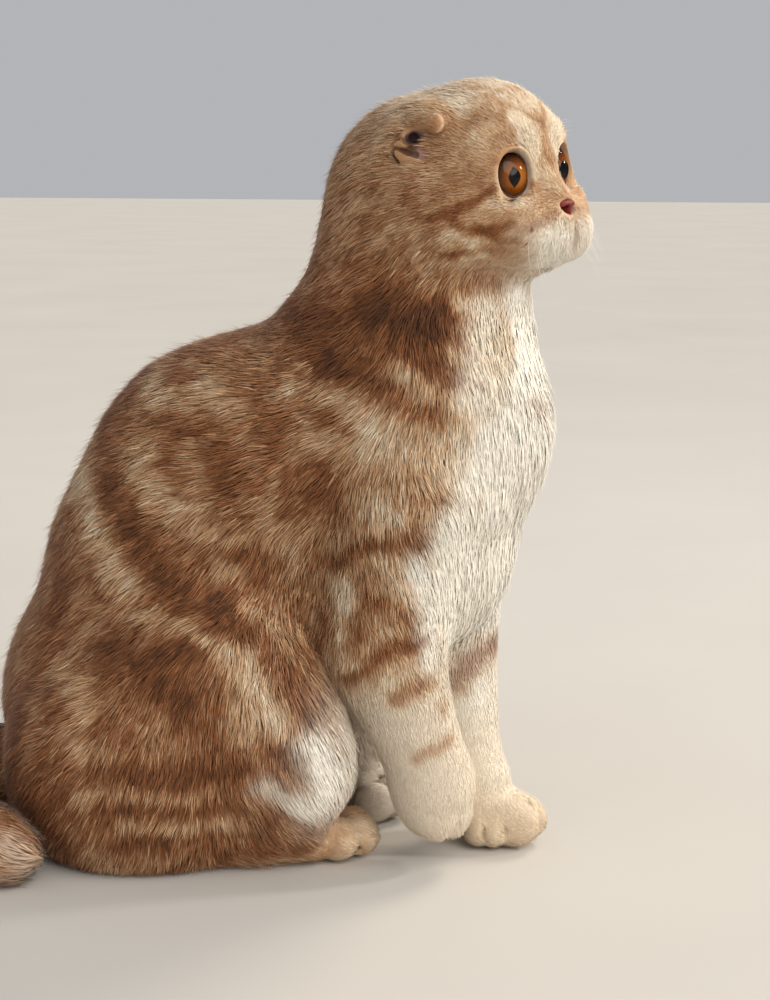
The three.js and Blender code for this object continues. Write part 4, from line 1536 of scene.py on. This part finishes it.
        def rise(angle: np.ndarray) -> Points:
            """The way of a tuft at an angle from the skin."""
            return np.cos(angle)[:, None] * lie + np.sin(angle)[:, None] * normal

        start = p - normal * self.buried
        fall = (rise(first) * self.bend_at + rise(last) * (1 - self.bend_at))[:, 2] * length
        length *= np.clip((p[:, 2] - 0.5) / np.maximum(-fall, 1e-3), 0.15, 1.0)
        bend = p + rise(first) * (length * self.bend_at)[:, None]
        tip = bend + rise(last) * (length * (1 - self.bend_at))[:, None]
        width = np.interp(length, [3.0, 7.0, 12.0], [0.34, 0.42, 0.50]) * rng.uniform(*self.widths, count)
        width *= 1.0 + self.white_width * white * (1.0 - short)
        half = side * (width / 2)[:, None]
        ridge = normal * (width * (self.ridge - self.white_ridge * white))[:, None]
        rings = np.stack([start, bend - half, bend + half, bend + ridge, tip], 1)
        floor = 0.25 + 0.3 * rng.random((count, 1))
        rings[..., 2] = np.maximum(rings[..., 2], floor)
        one = np.array([[0, 2, 1], [0, 3, 2], [0, 1, 3], [4, 1, 2], [4, 2, 3], [4, 3, 1]])
        faces = (one[None] + 5 * np.arange(count)[:, None, None]).reshape(-1, 3)
        places = rings.reshape(-1, 3)
        faces = outward(places, faces)
        piece = new_piece(region.name, in_row(places), faces, material)
        red, white = skin.markings((bend + 0.35 * (tip - bend)).astype(np.float32))
        streak = self.streak(p)
        lively = (1.0 - 0.75 * white) * (1.0 - 0.5 * short)
        uneven = 0.28 * streak[:, 1] + rng.normal(0, self.light_spread, count)
        strand = np.clip(0.5 + uneven * lively, 0, 1)
        red += (self.red_spread * streak[:, 0] + rng.normal(0, self.red_spread, count)) * lively
        self.colour(piece.data, np.clip(red, 0, 1), white, strand)
        self.unwrap(piece.data, skin.atlas.at(p, face))
        shade = np.stack([normal, normal - side * 0.14, normal + side * 0.14, normal, normal + lie * 0.1], 1)
        piece.data.normals_split_custom_set_from_vertices(unit(shade).reshape(-1, 3).tolist())
        return piece

    @staticmethod
    def colour(mesh: bpy.types.Mesh, red: np.ndarray, white: np.ndarray, shade: np.ndarray) -> None:
        """Writes each tuft's markings, how far along it each corner is, and how light it is."""
        along = np.array([0.0, 0.4, 0.4, 0.45, 1.0])
        values = np.empty((len(red), 5, 3), np.float32)
        values[..., 0] = red[:, None]
        values[..., 1] = white[:, None]
        values[..., 2] = along[None]
        colour_attribute(mesh, MARKINGS_AND_SHADE, values.reshape(-1, 3))
        number_attribute(mesh, TONE_AND_SHADE, shade.repeat(5))

    def unwrap(self, mesh: bpy.types.Mesh, at: np.ndarray) -> None:
        """Lays each tuft's six faces side by side in a small patch at its root's place on the unwrap."""
        third, low, middle, high = self.patch / 3, -self.patch / 2, -self.patch * 0.1, self.patch / 2
        lower, upper = [], []
        for i in (-1.5, -0.5, 0.5):
            left, right = (i + 0.05) * third, (i + 0.95) * third
            centre = (left + right) / 2
            lower.append([(centre, low), (right, middle), (left, middle)])
            upper.append([(centre, high), (left, middle), (right, middle)])
        map_corners(mesh, UV_NAME, at[:, None, None, :] + np.array(lower + upper)[None])


# Materials


def colour(hexadecimal: str) -> tuple[float, float, float, float]:
    """A colour written as on a paint card, as the linear numbers that a shader takes."""
    parts = [int(hexadecimal[i : i + 2], 16) / 255 for i in (0, 2, 4)]
    return tuple(c / 12.92 if c <= 0.04045 else ((c + 0.055) / 1.055) ** 2.4 for c in parts) + (1.0,)


class Signal:
    """A socket of a tree, on which Python's arithmetic adds Math nodes."""

    def __init__(self, graph: "Tree", socket: bpy.types.NodeSocket) -> None:
        """Wraps a socket of a graph."""
        self.graph, self.socket = graph, socket

    def maths(self, operation: str, *others: object) -> "Signal":
        """This signal and others through a Math node."""
        values = {i: value for i, value in enumerate((self, *others))}
        return self.graph.node("ShaderNodeMath", {"operation": operation}, values)

    def __add__(self, other: object) -> "Signal":
        """Sum."""
        return self.maths("ADD", other)

    def __mul__(self, other: object) -> "Signal":
        """Product."""
        return self.maths("MULTIPLY", other)

    def __sub__(self, other: object) -> "Signal":
        """Difference."""
        return self.maths("SUBTRACT", other)

    def __rsub__(self, other: float) -> "Signal":
        """A number less this signal."""
        return self.graph.node("ShaderNodeMath", {"operation": "SUBTRACT"}, {0: other, 1: self})

    __radd__ = __add__
    __rmul__ = __mul__


class Tree:
    """A tree of nodes."""

    def __init__(self, tree: bpy.types.NodeTree) -> None:
        """Wraps an empty tree."""
        self.tree = tree

    def node(
        self, kind: str, settings: dict | None = None, inputs: dict | None = None, out: object = 0
    ) -> Signal:
        """Adds a node.

        Args:
            kind: The node's type.
            settings: Its own settings, such as an operation, or a ramp's stops as (place, colour) pairs.
            inputs: Values or links of its sockets, by name or number.
            out: The output that is wanted, by name or number.

        Returns:
            That output.
        """
        made = self.tree.nodes.new(kind)
        for key, value in (settings or {}).items():
            if key == "stops":
                self.set_stops(made.color_ramp, value)
            else:
                setattr(made, key, value)
        for key, value in (inputs or {}).items():
            socket = made.inputs[key]
            if isinstance(value, Signal):
                self.tree.links.new(value.socket, socket)
            else:
                socket.default_value = value
        return Signal(self, made.outputs[out])

    @staticmethod
    def set_stops(ramp: bpy.types.ColorRamp, stops: Sequence[tuple[float, tuple]]) -> None:
        """Gives a ramp its stops."""
        while len(ramp.elements) < len(stops):
            ramp.elements.new(0.5)
        for element, (place, _) in zip(ramp.elements, stops):
            element.position = place
        for element, (_, shade) in zip(ramp.elements, stops):
            element.color = shade


class Graph(Tree):
    """A material and the nodes in it."""

    def __init__(self, name: str) -> None:
        """Makes an empty material of this name."""
        self.material = bpy.data.materials.new(name)
        self.material.use_nodes = True
        super().__init__(self.material.node_tree)
        self.tree.nodes.clear()

    def attribute(self, name: str, out: str = "Color") -> Signal:
        """One of the mesh's own attributes."""
        return self.node("ShaderNodeAttribute", {"attribute_name": name}, out=out)

    def channels(self, whole: Signal, kind: str = "ShaderNodeSeparateColor") -> list[Signal]:
        """The three numbers of a colour, or of a vector."""
        first = self.node(kind, {}, {0: whole})
        return [Signal(self, socket) for socket in first.socket.node.outputs]

    def mix(self, share: object, first: object, second: object, way: str = "MIX") -> Signal:
        """Two colours mixed, with a share of the second from 0 to 1 and a way in which it acts."""
        settings = {"data_type": "RGBA", "blend_type": way, "clamp_factor": True}
        return self.node("ShaderNodeMix", settings, {0: share, 6: first, 7: second}, out=2)

    def tinted(self, base: Signal, tint: object) -> Signal:
        """A colour multiplied by another."""
        return self.mix(1.0, base, tint, "MULTIPLY")

    def fade(self, value: Signal, low: float, high: float, first: float, last: float) -> Signal:
        """A smooth change from a first number, below low, to a last one, above high."""
        ends = {"From Min": low, "From Max": high, "To Min": first, "To Max": last}
        settings = {"interpolation_type": "SMOOTHSTEP"}
        return self.node("ShaderNodeMapRange", settings, {"Value": value} | ends)

    def noise(self, scale: float, detail: float = 2.0, where: Signal | None = None) -> Signal:
        """Noise over the object, from 0 to 1."""
        where = where or self.node("ShaderNodeTexCoord", out="Object")
        inputs = {"Vector": where, "Scale": scale, "Detail": detail, "Roughness": 0.55}
        return self.node("ShaderNodeTexNoise", {}, inputs)

    def bump(self, height: Signal, distance: float, strength: float = 1.0) -> Signal:
        """A normal for a height."""
        inputs = {"Height": height, "Distance": distance, "Strength": strength}
        return self.node("ShaderNodeBump", {}, inputs)

    def ended(self, shader: Signal) -> Material:
        """Ends the material in a shader."""
        end = self.tree.nodes.new("ShaderNodeOutputMaterial")
        self.tree.links.new(shader.socket, end.inputs["Surface"])
        return self.material

    def finish(
        self, tone: Signal, roughness: float, gloss: float = 0.5, normal: Signal | None = None, **more: float
    ) -> Material:
        """Ends the material in a Principled shader.

        Args:
            tone: Its colour.
            roughness: How rough it is.
            gloss: Its specular level.
            normal: Its normal, where it is bumpy.
            more: Other sockets, with an underscore for each space in their names.

        Returns:
            The material.
        """
        inputs = {"Base Color": tone, "Roughness": roughness, "Specular IOR Level": gloss}
        inputs |= {name.replace("_", " "): value for name, value in more.items()}
        if normal:
            inputs["Normal"] = normal
        return self.ended(self.node("ShaderNodeBsdfPrincipled", {}, inputs))


@dataclass(frozen=True)
class FurFinish:
    """The colours of the coat, from white to the darkest red, and its soft gloss."""

    white: str = "ede8dc"
    pale: str = "f3e5cd"
    tan: str = "cfab85"
    red: str = "945f3a"
    dark: str = "5b3922"
    root: str = "d0c0b0"  # tints: of a tuft's root, and of it where the coat is white
    white_root: str = "fbf8f4"
    lightest: tuple[float, ...] = (1.38, 1.38, 1.36, 1.0)
    darkest: tuple[float, ...] = (0.70, 0.68, 0.66, 1.0)
    shadow: str = "2a1813"  # in a hollow or furrow
    roughness: float = 0.62
    sheen: float = 0.12

    def coat_colour(self, graph: Graph) -> tuple[Signal, Signal, Signal]:
        """The colour of the markings, how white they are, and the third channel that they carry."""
        red, white, third = graph.channels(graph.attribute(MARKINGS_AND_SHADE))
        shades = [(0.0, self.pale), (0.3, self.tan), (0.62, self.red), (0.95, self.dark)]
        stops = [(place, colour(shade)) for place, shade in shades]
        tabby = graph.node("ShaderNodeValToRGB", {"stops": stops}, {0: red})
        return graph.mix(white, tabby, colour(self.white)), white, third

    def tufts(self) -> Material:
        """What the tufts wear."""
        graph = Graph("fur")
        base, white, along = self.coat_colour(graph)
        strand = graph.attribute(TONE_AND_SHADE, "Fac")
        deep = graph.tinted(base, graph.mix(white, colour(self.root), colour(self.white_root)))
        toned = graph.mix(along * 0.9 + 0.1, deep, base)
        final = graph.mix(strand, graph.tinted(toned, self.darkest), graph.tinted(toned, self.lightest))
        return graph.finish(final, self.roughness, 0.22, Sheen_Weight=self.sheen, Sheen_Roughness=0.45)

    def skin(self) -> Material:
        """What the skin wears: the same markings in fuzz, bare flesh in the ears and on the lids, and painted
        shade in its hollows and furrows.
        """
        graph = Graph("skin")
        base, white, bare = self.coat_colour(graph)
        fuzz = graph.noise(900.0, 3.0)
        fuzzy = graph.mix(white, graph.mix(fuzz, colour("cdbfb2"), colour("f4ece4")), colour("fcfaf8"))
        flesh = graph.mix(graph.noise(220.0, 2.0), colour("67504f"), colour("8d7472"))
        tone = graph.mix(bare, graph.tinted(base, fuzzy), flesh)
        # painted shade: the skin darkens towards a shadow colour in its hollows and furrows
        tone = graph.mix(graph.attribute(TONE_AND_SHADE, "Fac") * 0.8, tone, colour(self.shadow))
        height = fuzz * 0.6 + graph.noise(2600.0, 2.0) * 0.4
        return graph.finish(tone, 0.75, 0.25, graph.bump(height, 0.0006, 0.8))


@dataclass(frozen=True)
class EyeFinish:
    """An amber iris with a dark rim and a tall pupil, under a clear wet front."""

    inner: str = "ae6c22"
    outer: str = "83490f"
    rim: str = "2c1a0b"
    pupil: str = "030303"
    pupils: tuple = ((2.0, 3.2), (-2.8, 5.0))  # mm out of the middle and half the width, right and left
    warm: tuple[float, ...] = (1.25, 1.2, 1.1, 1.0)  # tints of the fibres
    cool: tuple[float, ...] = (0.62, 0.6, 0.55, 1.0)
    lid_shade: tuple[float, ...] = (0.42, 0.34, 0.28, 1.0)
    pupil_height: float = 4.6  # mm, half
    gloss: float = 0.021  # share of the light that the wet front sends back
    iris: float = 9.9  # mm, radius

    def iris_material(self, pupil_out: float, pupil_width: float) -> Material:
        """The iris and its pupil, placed as told. Reads a map in millimetres from the eye's middle."""
        graph = Graph("iris")
        where = graph.node("ShaderNodeUVMap", {"uv_map": EYE_PLANE})
        split = graph.channels(where, "ShaderNodeSeparateXYZ")[:2]
        x, y = ((one - 0.5) * PLANE_SIDE for one in split)
        radius = (x * x + y * y).maths("SQRT")
        angle = y.maths("ARCTAN2", x)
        spokes = graph.node("ShaderNodeCombineXYZ", {}, {0: angle * 5.0, 1: radius * 0.35, 2: 0.0})
        fibres = graph.noise(2.2, 5.0, spokes)
        stops = [(0.0, colour(self.inner)), (0.55, colour(self.outer)), (0.93, colour(self.rim))]
        ring = graph.node("ShaderNodeValToRGB", {"stops": stops}, {0: radius * (1.0 / self.iris)})
        fibred = graph.mix(fibres, graph.tinted(ring, self.cool), graph.tinted(ring, self.warm))
        # painted shade of the upper lid: the top of the iris is darker
        lid_shadow_share = graph.fade(y, 1.0, 9.5, 0.0, 1.0)
        fibred = graph.mix(lid_shadow_share, fibred, graph.tinted(fibred, self.lid_shade))
        # the pupil narrows to a point at the top and bottom
        tall = 1.0 - (y * (1.0 / self.pupil_height)).maths("ABSOLUTE").maths("POWER", 1.7)
        edge = (x - pupil_out).maths("ABSOLUTE") - tall * pupil_width
        inside = graph.fade(edge, -0.15, 0.22, 1.0, 0.0)
        tone = graph.mix(inside, fibred, colour(self.pupil))
        return graph.finish(tone, 0.6, 0.0, graph.bump(fibres, 0.0004, 0.5))

    def clear_front(self) -> Material:
        """The cornea: clear, with a mirror's gloss."""
        graph = Graph("cornea")
        clear = graph.node("ShaderNodeBsdfTransparent", {}, {0: (1.0, 1.0, 1.0, 1.0)})
        gloss = graph.node("ShaderNodeBsdfGlossy", {}, {"Color": (1.0, 1.0, 1.0, 1.0), "Roughness": 0.06})
        return graph.ended(graph.node("ShaderNodeMixShader", {}, {0: self.gloss, 1: clear, 2: gloss}))


def lid_material() -> Material:
    """The dark, moist edge of the lids."""
    graph = Graph("lid edge")
    tone = graph.mix(graph.noise(500.0, 2.0), colour("2c1a12"), colour("4a3024"))
    return graph.finish(tone, 0.5, 0.3)


def nose_material() -> Material:
    """The nose leather: pebbled brick-pink skin, with painted shade in the nostrils."""
    graph = Graph("nose leather")
    _, _, dark = graph.channels(graph.attribute(MARKINGS_AND_SHADE))
    pebble = graph.node(
        "ShaderNodeTexVoronoi",
        {"feature": "SMOOTH_F1"},
        {"Vector": graph.node("ShaderNodeTexCoord", out="Object"), "Scale": 1700.0},
        out="Distance",
    )
    tone = graph.mix(graph.noise(330.0, 3.0), colour("5f1612"), colour("84322b"))
    # painted shade in the nostrils: near black inside them
    tone = graph.mix(dark, tone, colour("200a0a"))
    return graph.finish(tone, 0.5, 0.16, graph.bump(pebble, 0.00025, 0.6))


def whisker_material() -> Material:
    """Stiff pale hair."""
    graph = Graph("whisker")
    tone = graph.mix(graph.noise(60.0, 1.0), colour("e9e0cf"), colour("fbf7ee"))
    return graph.finish(tone, 0.4)


# Eyes, nose and whiskers


@dataclass
class Eyes:
    """Both eyes: an iris set back in the ball, a clear front over it and the dark edge of the lids."""

    head: Head
    finish: EyeFinish = field(default_factory=EyeFinish)
    iris_at: float = 8.0  # mm from the ball's middle to the iris's edge
    bulge: float = 4.2  # mm, how far the iris rises in its middle
    rings: int = 48
    spokes: int = 72
    rim: float = 0.4  # mm, half the thickness of the lids' edge

    def in_body(self, side: Side, eye_places: Points) -> Points:
        """Places given in one eye's own axes, in metres in the row's frame."""
        socket = self.head.eye
        q = socket.from_eye(*eye_places.T)
        q[:, 1] *= side.value
        return in_row(self.head.axes.outwards(q))

    def dome(self, name: str, side: Side, front: float, material: Material) -> Piece:
        """A closed ball, cut off flat at the front if it reaches past a limit.

        Args:
            name: The piece's name.
            side: Which eye.
            front: How far ahead of the ball's middle it may reach.
            material: What it wears.

        Returns:
            The piece.
        """
        socket = self.head.eye
        polar = np.linspace(0, math.pi, self.rings + 1)[1:-1]
        around = np.linspace(0, 2 * math.pi, self.spokes, endpoint=False)
        inset = 0.2 if front < socket.front else 0.0
        out = np.sin(polar) * (socket.across - inset)
        crown = front + self.bulge * (1.0 - (out / socket.half_width) ** 2)
        ahead = np.minimum(np.cos(polar) * (socket.front - inset), crown)
        across, above = out[:, None] * np.cos(around), out[:, None] * np.sin(around)
        ring = np.stack([np.broadcast_to(ahead[:, None], across.shape), across, above], -1).reshape(-1, 3)
        poles = np.array([[min(socket.front, front + self.bulge), 0.0, 0.0], [-socket.front, 0.0, 0.0]])
        eye_places = np.concatenate([ring, poles])
        number = np.arange(len(ring)).reshape(len(polar), self.spokes)
        after = np.roll(number, -1, 1)
        quads = np.stack([number[:-1], number[1:], after[1:], after[:-1]], -1).reshape(-1, 4)
        cap = np.stack([np.full(self.spokes, len(ring)), number[0], after[0]], 1)
        back = np.stack([np.full(self.spokes, len(ring) + 1), after[-1], number[-1]], 1)
        places = self.in_body(side, eye_places)
        faces = outward(places, np.concatenate([as_triangles(quads), cap, back]))
        piece = new_piece(name, places, faces, material)
        plane = eye_places[:, 1:] / PLANE_SIDE + 0.5
        map_corners(piece.data, EYE_PLANE, plane[faces.ravel()])
        return piece

    def lid_edge(self, name: str, side: Side, material: Material) -> Piece:
        """The dark edge of the lids: a thin tube that lies on the ball round the opening.

        Args:
            name: The piece's name.
            side: Which eye.
            material: What it wears.

        Returns:
            The piece.
        """
        socket = self.head.eye
        around = np.linspace(0, 2 * math.pi, self.spokes, endpoint=False)
        turn = np.linspace(0, 2 * math.pi, 10, endpoint=False)
        height = np.where(around < math.pi, socket.half_height, socket.low_height)
        x, z = socket.half_width * np.cos(around), height * np.sin(around)
        x = x - socket.lean(x, z)
        depth = socket.rim_depth(x, z)
        out = unit(np.stack([np.zeros_like(x), x, z], 1))
        front = np.array([1.0, 0.0, 0.0])
        middle = np.stack([depth, x, z], 1)
        rings = middle[:, None] + self.rim * np.cos(turn)[None, :, None] * out[:, None]
        rings = rings + self.rim * np.sin(turn)[None, :, None] * front
        number = np.arange(len(around) * len(turn)).reshape(len(around), len(turn))
        after = np.roll(number, -1, 0)
        quads = np.stack([number, after, np.roll(after, -1, 1), np.roll(number, -1, 1)], -1).reshape(-1, 4)
        places = self.in_body(side, rings.reshape(-1, 3))
        return new_piece(name, places, outward(places, as_triangles(quads)), material)

    def build(self) -> list[Piece]:
        """Makes both eyes.

        Returns:
            The pieces.
        """
        cornea, edge = self.finish.clear_front(), lid_material()
        made = []
        for side, pupil in zip(Side, self.finish.pupils):
            word = side.name.lower()
            inner = self.dome(f"iris_{word}", side, self.iris_at, self.finish.iris_material(*pupil))
            clear = self.dome(f"cornea_{word}", side, self.head.eye.front, cornea)
            lid = self.lid_edge(f"lid_edge_{word}", side, edge)
            dress(inner, "eye", f"eye_{word}")
            dress(clear, "eye")
            dress(lid, "eye")
            made += [inner, clear, lid]
        return made


@dataclass
class Nose:
    """The nose leather, with its nostrils and the groove between them."""

    head: Head
    step: float = 0.4

    @staticmethod
    def nostrils(q: Points) -> np.ndarray:
        """Distance to the nostrils, in the head's axes with the left side doubled."""
        hole = ball((59.4, 2.7, -13.6), (2.2, 1.1, 0.9))
        slit = ball((57.0, 5.2, -13.9), (3.4, 2.2, 0.7))
        return joined([hole, slit], 0.3)(q)

    def shape(self, q: Points) -> np.ndarray:
        """Distance to the nose leather."""
        side = one_side(q)
        pad = ball((56.8, 0, -12.1), (3.4, 5.6, 1.5))
        low = ball((57.2, 0, -16), (2.7, 1.2, 4.4))
        wing = ball((55.8, 4.6, -12.7), (2.7, 2.2, 1.3))
        groove = limb((61, 0, -12.9), (59.6, 0, -20.4), 0.4, 0.45)
        made = hollow(joined([pad, low, wing], 0.8)(side), self.nostrils(side), 0.5)
        return hollow(made, groove(side), 0.7)

    def build(self) -> Piece:
        """Makes the nose.

        Returns:
            The piece.
        """
        ways = [np.arange(low, high, self.step) for low, high in ((52, 64), (-9, 9), (-21, -7))]
        knots = np.stack(np.meshgrid(*ways, indexing="ij"), -1).reshape(-1, 3).astype(np.float32)
        grid = self.shape(knots).reshape([len(way) for way in ways])
        q, faces = surface(grid, ways)
        places = in_row(self.head.axes.outwards(q))
        piece = new_piece("nose_leather", places, outward(places, faces), nose_material())
        # painted shade in the nostrils, carried in the third channel
        dark = smooth(-self.nostrils(one_side(q).astype(np.float32)), -0.5, 0.1)
        colour_attribute(piece.data, MARKINGS_AND_SHADE, np.stack([dark * 0, dark * 0, dark], 1))
        dress(piece, "nose_skin", "nose")
        return piece


@dataclass(frozen=True)
class Whisker:
    """One stiff hair, in the head's axes: its root, the way it leaves, the way it ends, and its length."""

    root: Triple
    first: Triple
    last: Triple
    length: float


@dataclass
class Whiskers:
    """Whiskers and brow hairs, drawn as paths and thickened by Geometry Nodes."""

    head: Head
    thickness: float = 0.11  # mm, radius at the root
    sides: int = 5
    knots: int = 12
    brow_hairs: int = 14
    roots: tuple[Triple, ...] = (
        (58.1, 15.4, -24.2),
        (55.9, 16.8, -25.8),
        (54.2, 19.6, -27.9),
        (52.8, 19.3, -31.1),
        (56.8, 15.0, -19.9),
        (55.1, 16.2, -18.7),
        (54.0, 18.6, -21.6),
        (52.0, 22.5, -22.9),
    )

    def hairs(self) -> list[Whisker]:
        """The hairs of the left side, which the right side mirrors."""
        rng = np.random.default_rng(SEED + 50)
        made = []
        for root in self.roots:
            sway = rng.normal(0, 0.12, 3)
            out = (0.35 + sway[0], 0.7, -0.7 + sway[2])
            fall = (0.3 + sway[1], 0.1, -1.0)
            made.append(Whisker(root, out, fall, float(rng.uniform(13, 22))))
        for _ in range(self.brow_hairs):
            across = rng.uniform(6, 18)
            root = (44.0 - 0.05 * (across - 12.0) ** 2, across, rng.uniform(15, 22))
            out = (1.0, rng.normal(0.1, 0.2), rng.normal(0.35, 0.2))
            made.append(Whisker(root, out, (1.0, 0.3, 0.1), float(rng.uniform(7, 11))))
        return made

    def paths(self) -> tuple[Points, np.ndarray, np.ndarray]:
        """Every hair as a row of points.

        Returns:
            The points, the edges between them and how thick the hair is at each, from 1 to 0.
        """
        points, edges, taper = [], [], []
        t = np.linspace(0, 1, self.knots)[:, None]
        for side in (Side.LEFT, Side.RIGHT):
            for hair in self.hairs():
                first, last = unit(np.array(hair.first)), unit(np.array(hair.last))
                path = np.array(hair.root) + hair.length * (first * t + (last - first) * t * t / 2)
                path[:, 1] *= side.value
                start = len(points) * self.knots
                edges += [(start + i, start + i + 1) for i in range(self.knots - 1)]
                points.append(path)
                taper.append(1.0 - 0.85 * t[:, 0])
        return in_row(self.head.axes.outwards(np.concatenate(points))), np.array(edges), np.concatenate(taper)

    def tree(self, material: Material) -> bpy.types.NodeTree:
        """The nodes that turn paths into tapered hairs, with inputs for thickness and sides."""
        group = bpy.data.node_groups.new("hairs along paths", "GeometryNodeTree")
        sockets = (("Geometry", "Geometry"), ("Thickness", "Float"), ("Sides", "Int"))
        for name, kind in sockets:
            group.interface.new_socket(name, in_out="INPUT", socket_type=f"NodeSocket{kind}")
        group.interface.new_socket("Geometry", in_out="OUTPUT", socket_type="NodeSocketGeometry")
        tree = Tree(group)
        paths = tree.node("NodeGroupInput")
        thickness, sides = (Signal(tree, paths.socket.node.outputs[name]) for name in ("Thickness", "Sides"))
        curve = tree.node("GeometryNodeMeshToCurve", {}, {"Mesh": paths})
        taper = tree.node("GeometryNodeInputNamedAttribute", {"data_type": "FLOAT"}, {"Name": "taper"})
        radius = taper * thickness
        curve = tree.node("GeometryNodeSetCurveRadius", {}, {"Curve": curve, "Radius": radius})
        ring = tree.node("GeometryNodeCurvePrimitiveCircle", {}, {"Resolution": sides, "Radius": 1.0})
        inputs = {"Curve": curve, "Profile Curve": ring, "Scale": radius, "Fill Caps": True}
        tube = tree.node("GeometryNodeCurveToMesh", {}, inputs)
        tube = tree.node("GeometryNodeRealizeInstances", {}, {"Geometry": tube})
        tube = tree.node("GeometryNodeSetMaterial", {}, {"Geometry": tube, "Material": material})
        end = group.nodes.new("NodeGroupOutput")
        group.links.new(tube.socket, end.inputs["Geometry"])
        return group

    def build(self) -> Piece:
        """Makes the whiskers.

        Returns:
            The piece.
        """
        material = whisker_material()
        points, edges, taper = self.paths()
        mesh = bpy.data.meshes.new("whisker_paths")
        mesh.from_pydata(points.tolist(), edges.tolist(), [])
        number_attribute(mesh, "taper", taper)
        source = linked("whisker_paths", mesh)
        tree = self.tree(material)
        modifier = source.modifiers.new("hairs", "NODES")
        modifier.node_group = tree
        sockets = {item.name: item.identifier for item in tree.interface.items_tree if item.in_out == "INPUT"}
        modifier[sockets["Thickness"]] = self.thickness * MM
        modifier[sockets["Sides"]] = self.sides
        bpy.context.view_layer.update()
        graph = bpy.context.evaluated_depsgraph_get()
        made = bpy.data.meshes.new_from_object(source.evaluated_get(graph))
        bpy.data.objects.remove(source)
        piece = linked("whiskers", made)
        dress(piece, "cream_coat")
        return piece


# The studio


class LampKind(Enum):
    """A sun, as wide as its size in degrees, or a square area with its size in metres."""

    SUN = "SUN"
    AREA = "AREA"


@dataclass
class Studio:
    """A pale floor, soft lights and the camera."""

    camera_at: Triple = (307.5, -874.1, 325.0)
    down: float = 10.0  # degrees
    round_to: float = 16.0  # degrees from a pure side view
    lens: float = 71.28
    key: float = 2.4
    rim: float = 1.4
    window: float = 10.0
    fill: float = 2.0
    sky: float = 0.52
    floor_half: float = 12.0  # m
    middle: Triple = (0.09, 0.0, 0.18)  # what the lamps face, in metres

    def floor(self) -> None:
        """A wide floor under the cat."""
        graph = Graph("floor")
        grain = graph.noise(3.0, 4.0)
        tone = graph.mix(grain, colour("bdb8b1"), colour("c9c5be"))
        material = graph.finish(tone, 0.9)
        half = self.floor_half
        corners = np.array([[-half, -half, 0], [half, -half, 0], [half, half, 0], [-half, half, 0]])
        floor = new_piece("floor", corners, np.array([[0, 1, 2, 3]]), material)

    def lamp(self, name: str, kind: LampKind, at: Triple, size: float, power: float, tint: Triple) -> None:
        """A soft light that faces the cat.

        Args:
            name: The light's name.
            kind: Sun or area.
            at: Its place, in metres in the row's frame.
            size: How wide it is.
            power: Its strength for a sun, or its power in watts.
            tint: Its colour.
        """
        data = bpy.data.lights.new(name, kind.value)
        data.energy, data.color = power, tint
        if kind is LampKind.SUN:
            data.angle = math.radians(size)
        else:
            data.size = size
        lamp = linked(name, data)
        lamp.location = at
        lamp.rotation_euler = (Vector(at) - Vector(self.middle)).to_track_quat("Z", "Y").to_euler()

    def lights(self) -> None:
        """The warm key from the front right, one from behind, a weak fill and the pale surroundings."""
        self.lamp("key", LampKind.SUN, (1.5, -0.85, 1.3), 60.0, self.key, (1.0, 0.95, 0.88))
        self.lamp("rim", LampKind.SUN, (0.7, 1.2, 1.5), 20.0, self.rim, (1.0, 0.9, 0.74))
        self.lamp("window", LampKind.AREA, (1.5, 0.72, 0.95), 0.15, self.window, (1.0, 0.97, 0.92))
        self.lamp("fill", LampKind.AREA, (-0.6, -1.5, 0.6), 1.4, self.fill, (0.93, 0.96, 1.0))
        world = bpy.data.worlds.new("surroundings")
        world.use_nodes = True
        back = world.node_tree.nodes["Background"]
        back.inputs["Color"].default_value = (0.86, 0.88, 0.92, 1.0)
        back.inputs["Strength"].default_value = self.sky
        bpy.context.scene.world = world

    def camera(self) -> None:
        """The camera, as in the photo's framing."""
        turn, tip = math.radians(self.round_to), math.radians(self.down)
        right = np.array([math.cos(turn), math.sin(turn), 0.0])
        away = np.array([-math.sin(turn), math.cos(turn), 0.0])
        up = np.array([0.0, 0.0, 1.0])
        forward = away * math.cos(tip) - up * math.sin(tip)
        above = away * math.sin(tip) + up * math.cos(tip)
        frame = Matrix(np.stack([right, above, -forward], 1).tolist()).to_4x4()
        frame.translation = in_row(np.array(self.camera_at))
        data = bpy.data.cameras.new("camera")
        data.lens, data.sensor_width, data.sensor_fit = self.lens, 36.0, "AUTO"
        data.clip_start = 0.02
        camera = linked("camera", data)
        camera.matrix_world = frame
        bpy.context.scene.camera = camera

    def build(self) -> None:
        """Sets the stage."""
        self.floor()
        self.lights()
        self.camera()
        bpy.context.scene.view_settings.view_transform = "Standard"


FLESH = (
    "head muzzle ear_right ear_left neck chest belly rump upper_arm_right forearm_right forepaw_right "
    "upper_arm_left forearm_left forepaw_left thigh_right thigh_left hind_foot_right hind_foot_left "
    "tail_base tail_tip"
).split()


def main() -> None:
    """Builds the cat over its solids."""
    logging.basicConfig(level=logging.INFO, format="%(relativeCreated)7d ms %(message)s")
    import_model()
    Studio().build()
    body = Body()
    fur = FurFinish()
    skin = Skin(body, Markings(body))
    piece = skin.build(fur.skin())
    dress(piece, "red_coat", *FLESH)
    log.info("skin: %d triangles", len(piece.data.polygons))
    coat = Coat(skin, CoatLie(body))
    tuft_finish = fur.tufts()
    for region in REGIONS:
        piece = coat.grow(region, tuft_finish)
        dress(piece, region.slot)
        log.info("%s: %d triangles", region.name, len(piece.data.polygons))
    for piece in Eyes(body.head).build():
        log.info("%s: %d triangles", piece.name, len(piece.data.polygons))
    for builder in (Nose(body.head), Whiskers(body.head)):
        piece = builder.build()
        log.info("%s: %d faces", piece.name, len(piece.data.polygons))


if __name__ == "__main__":
    main()
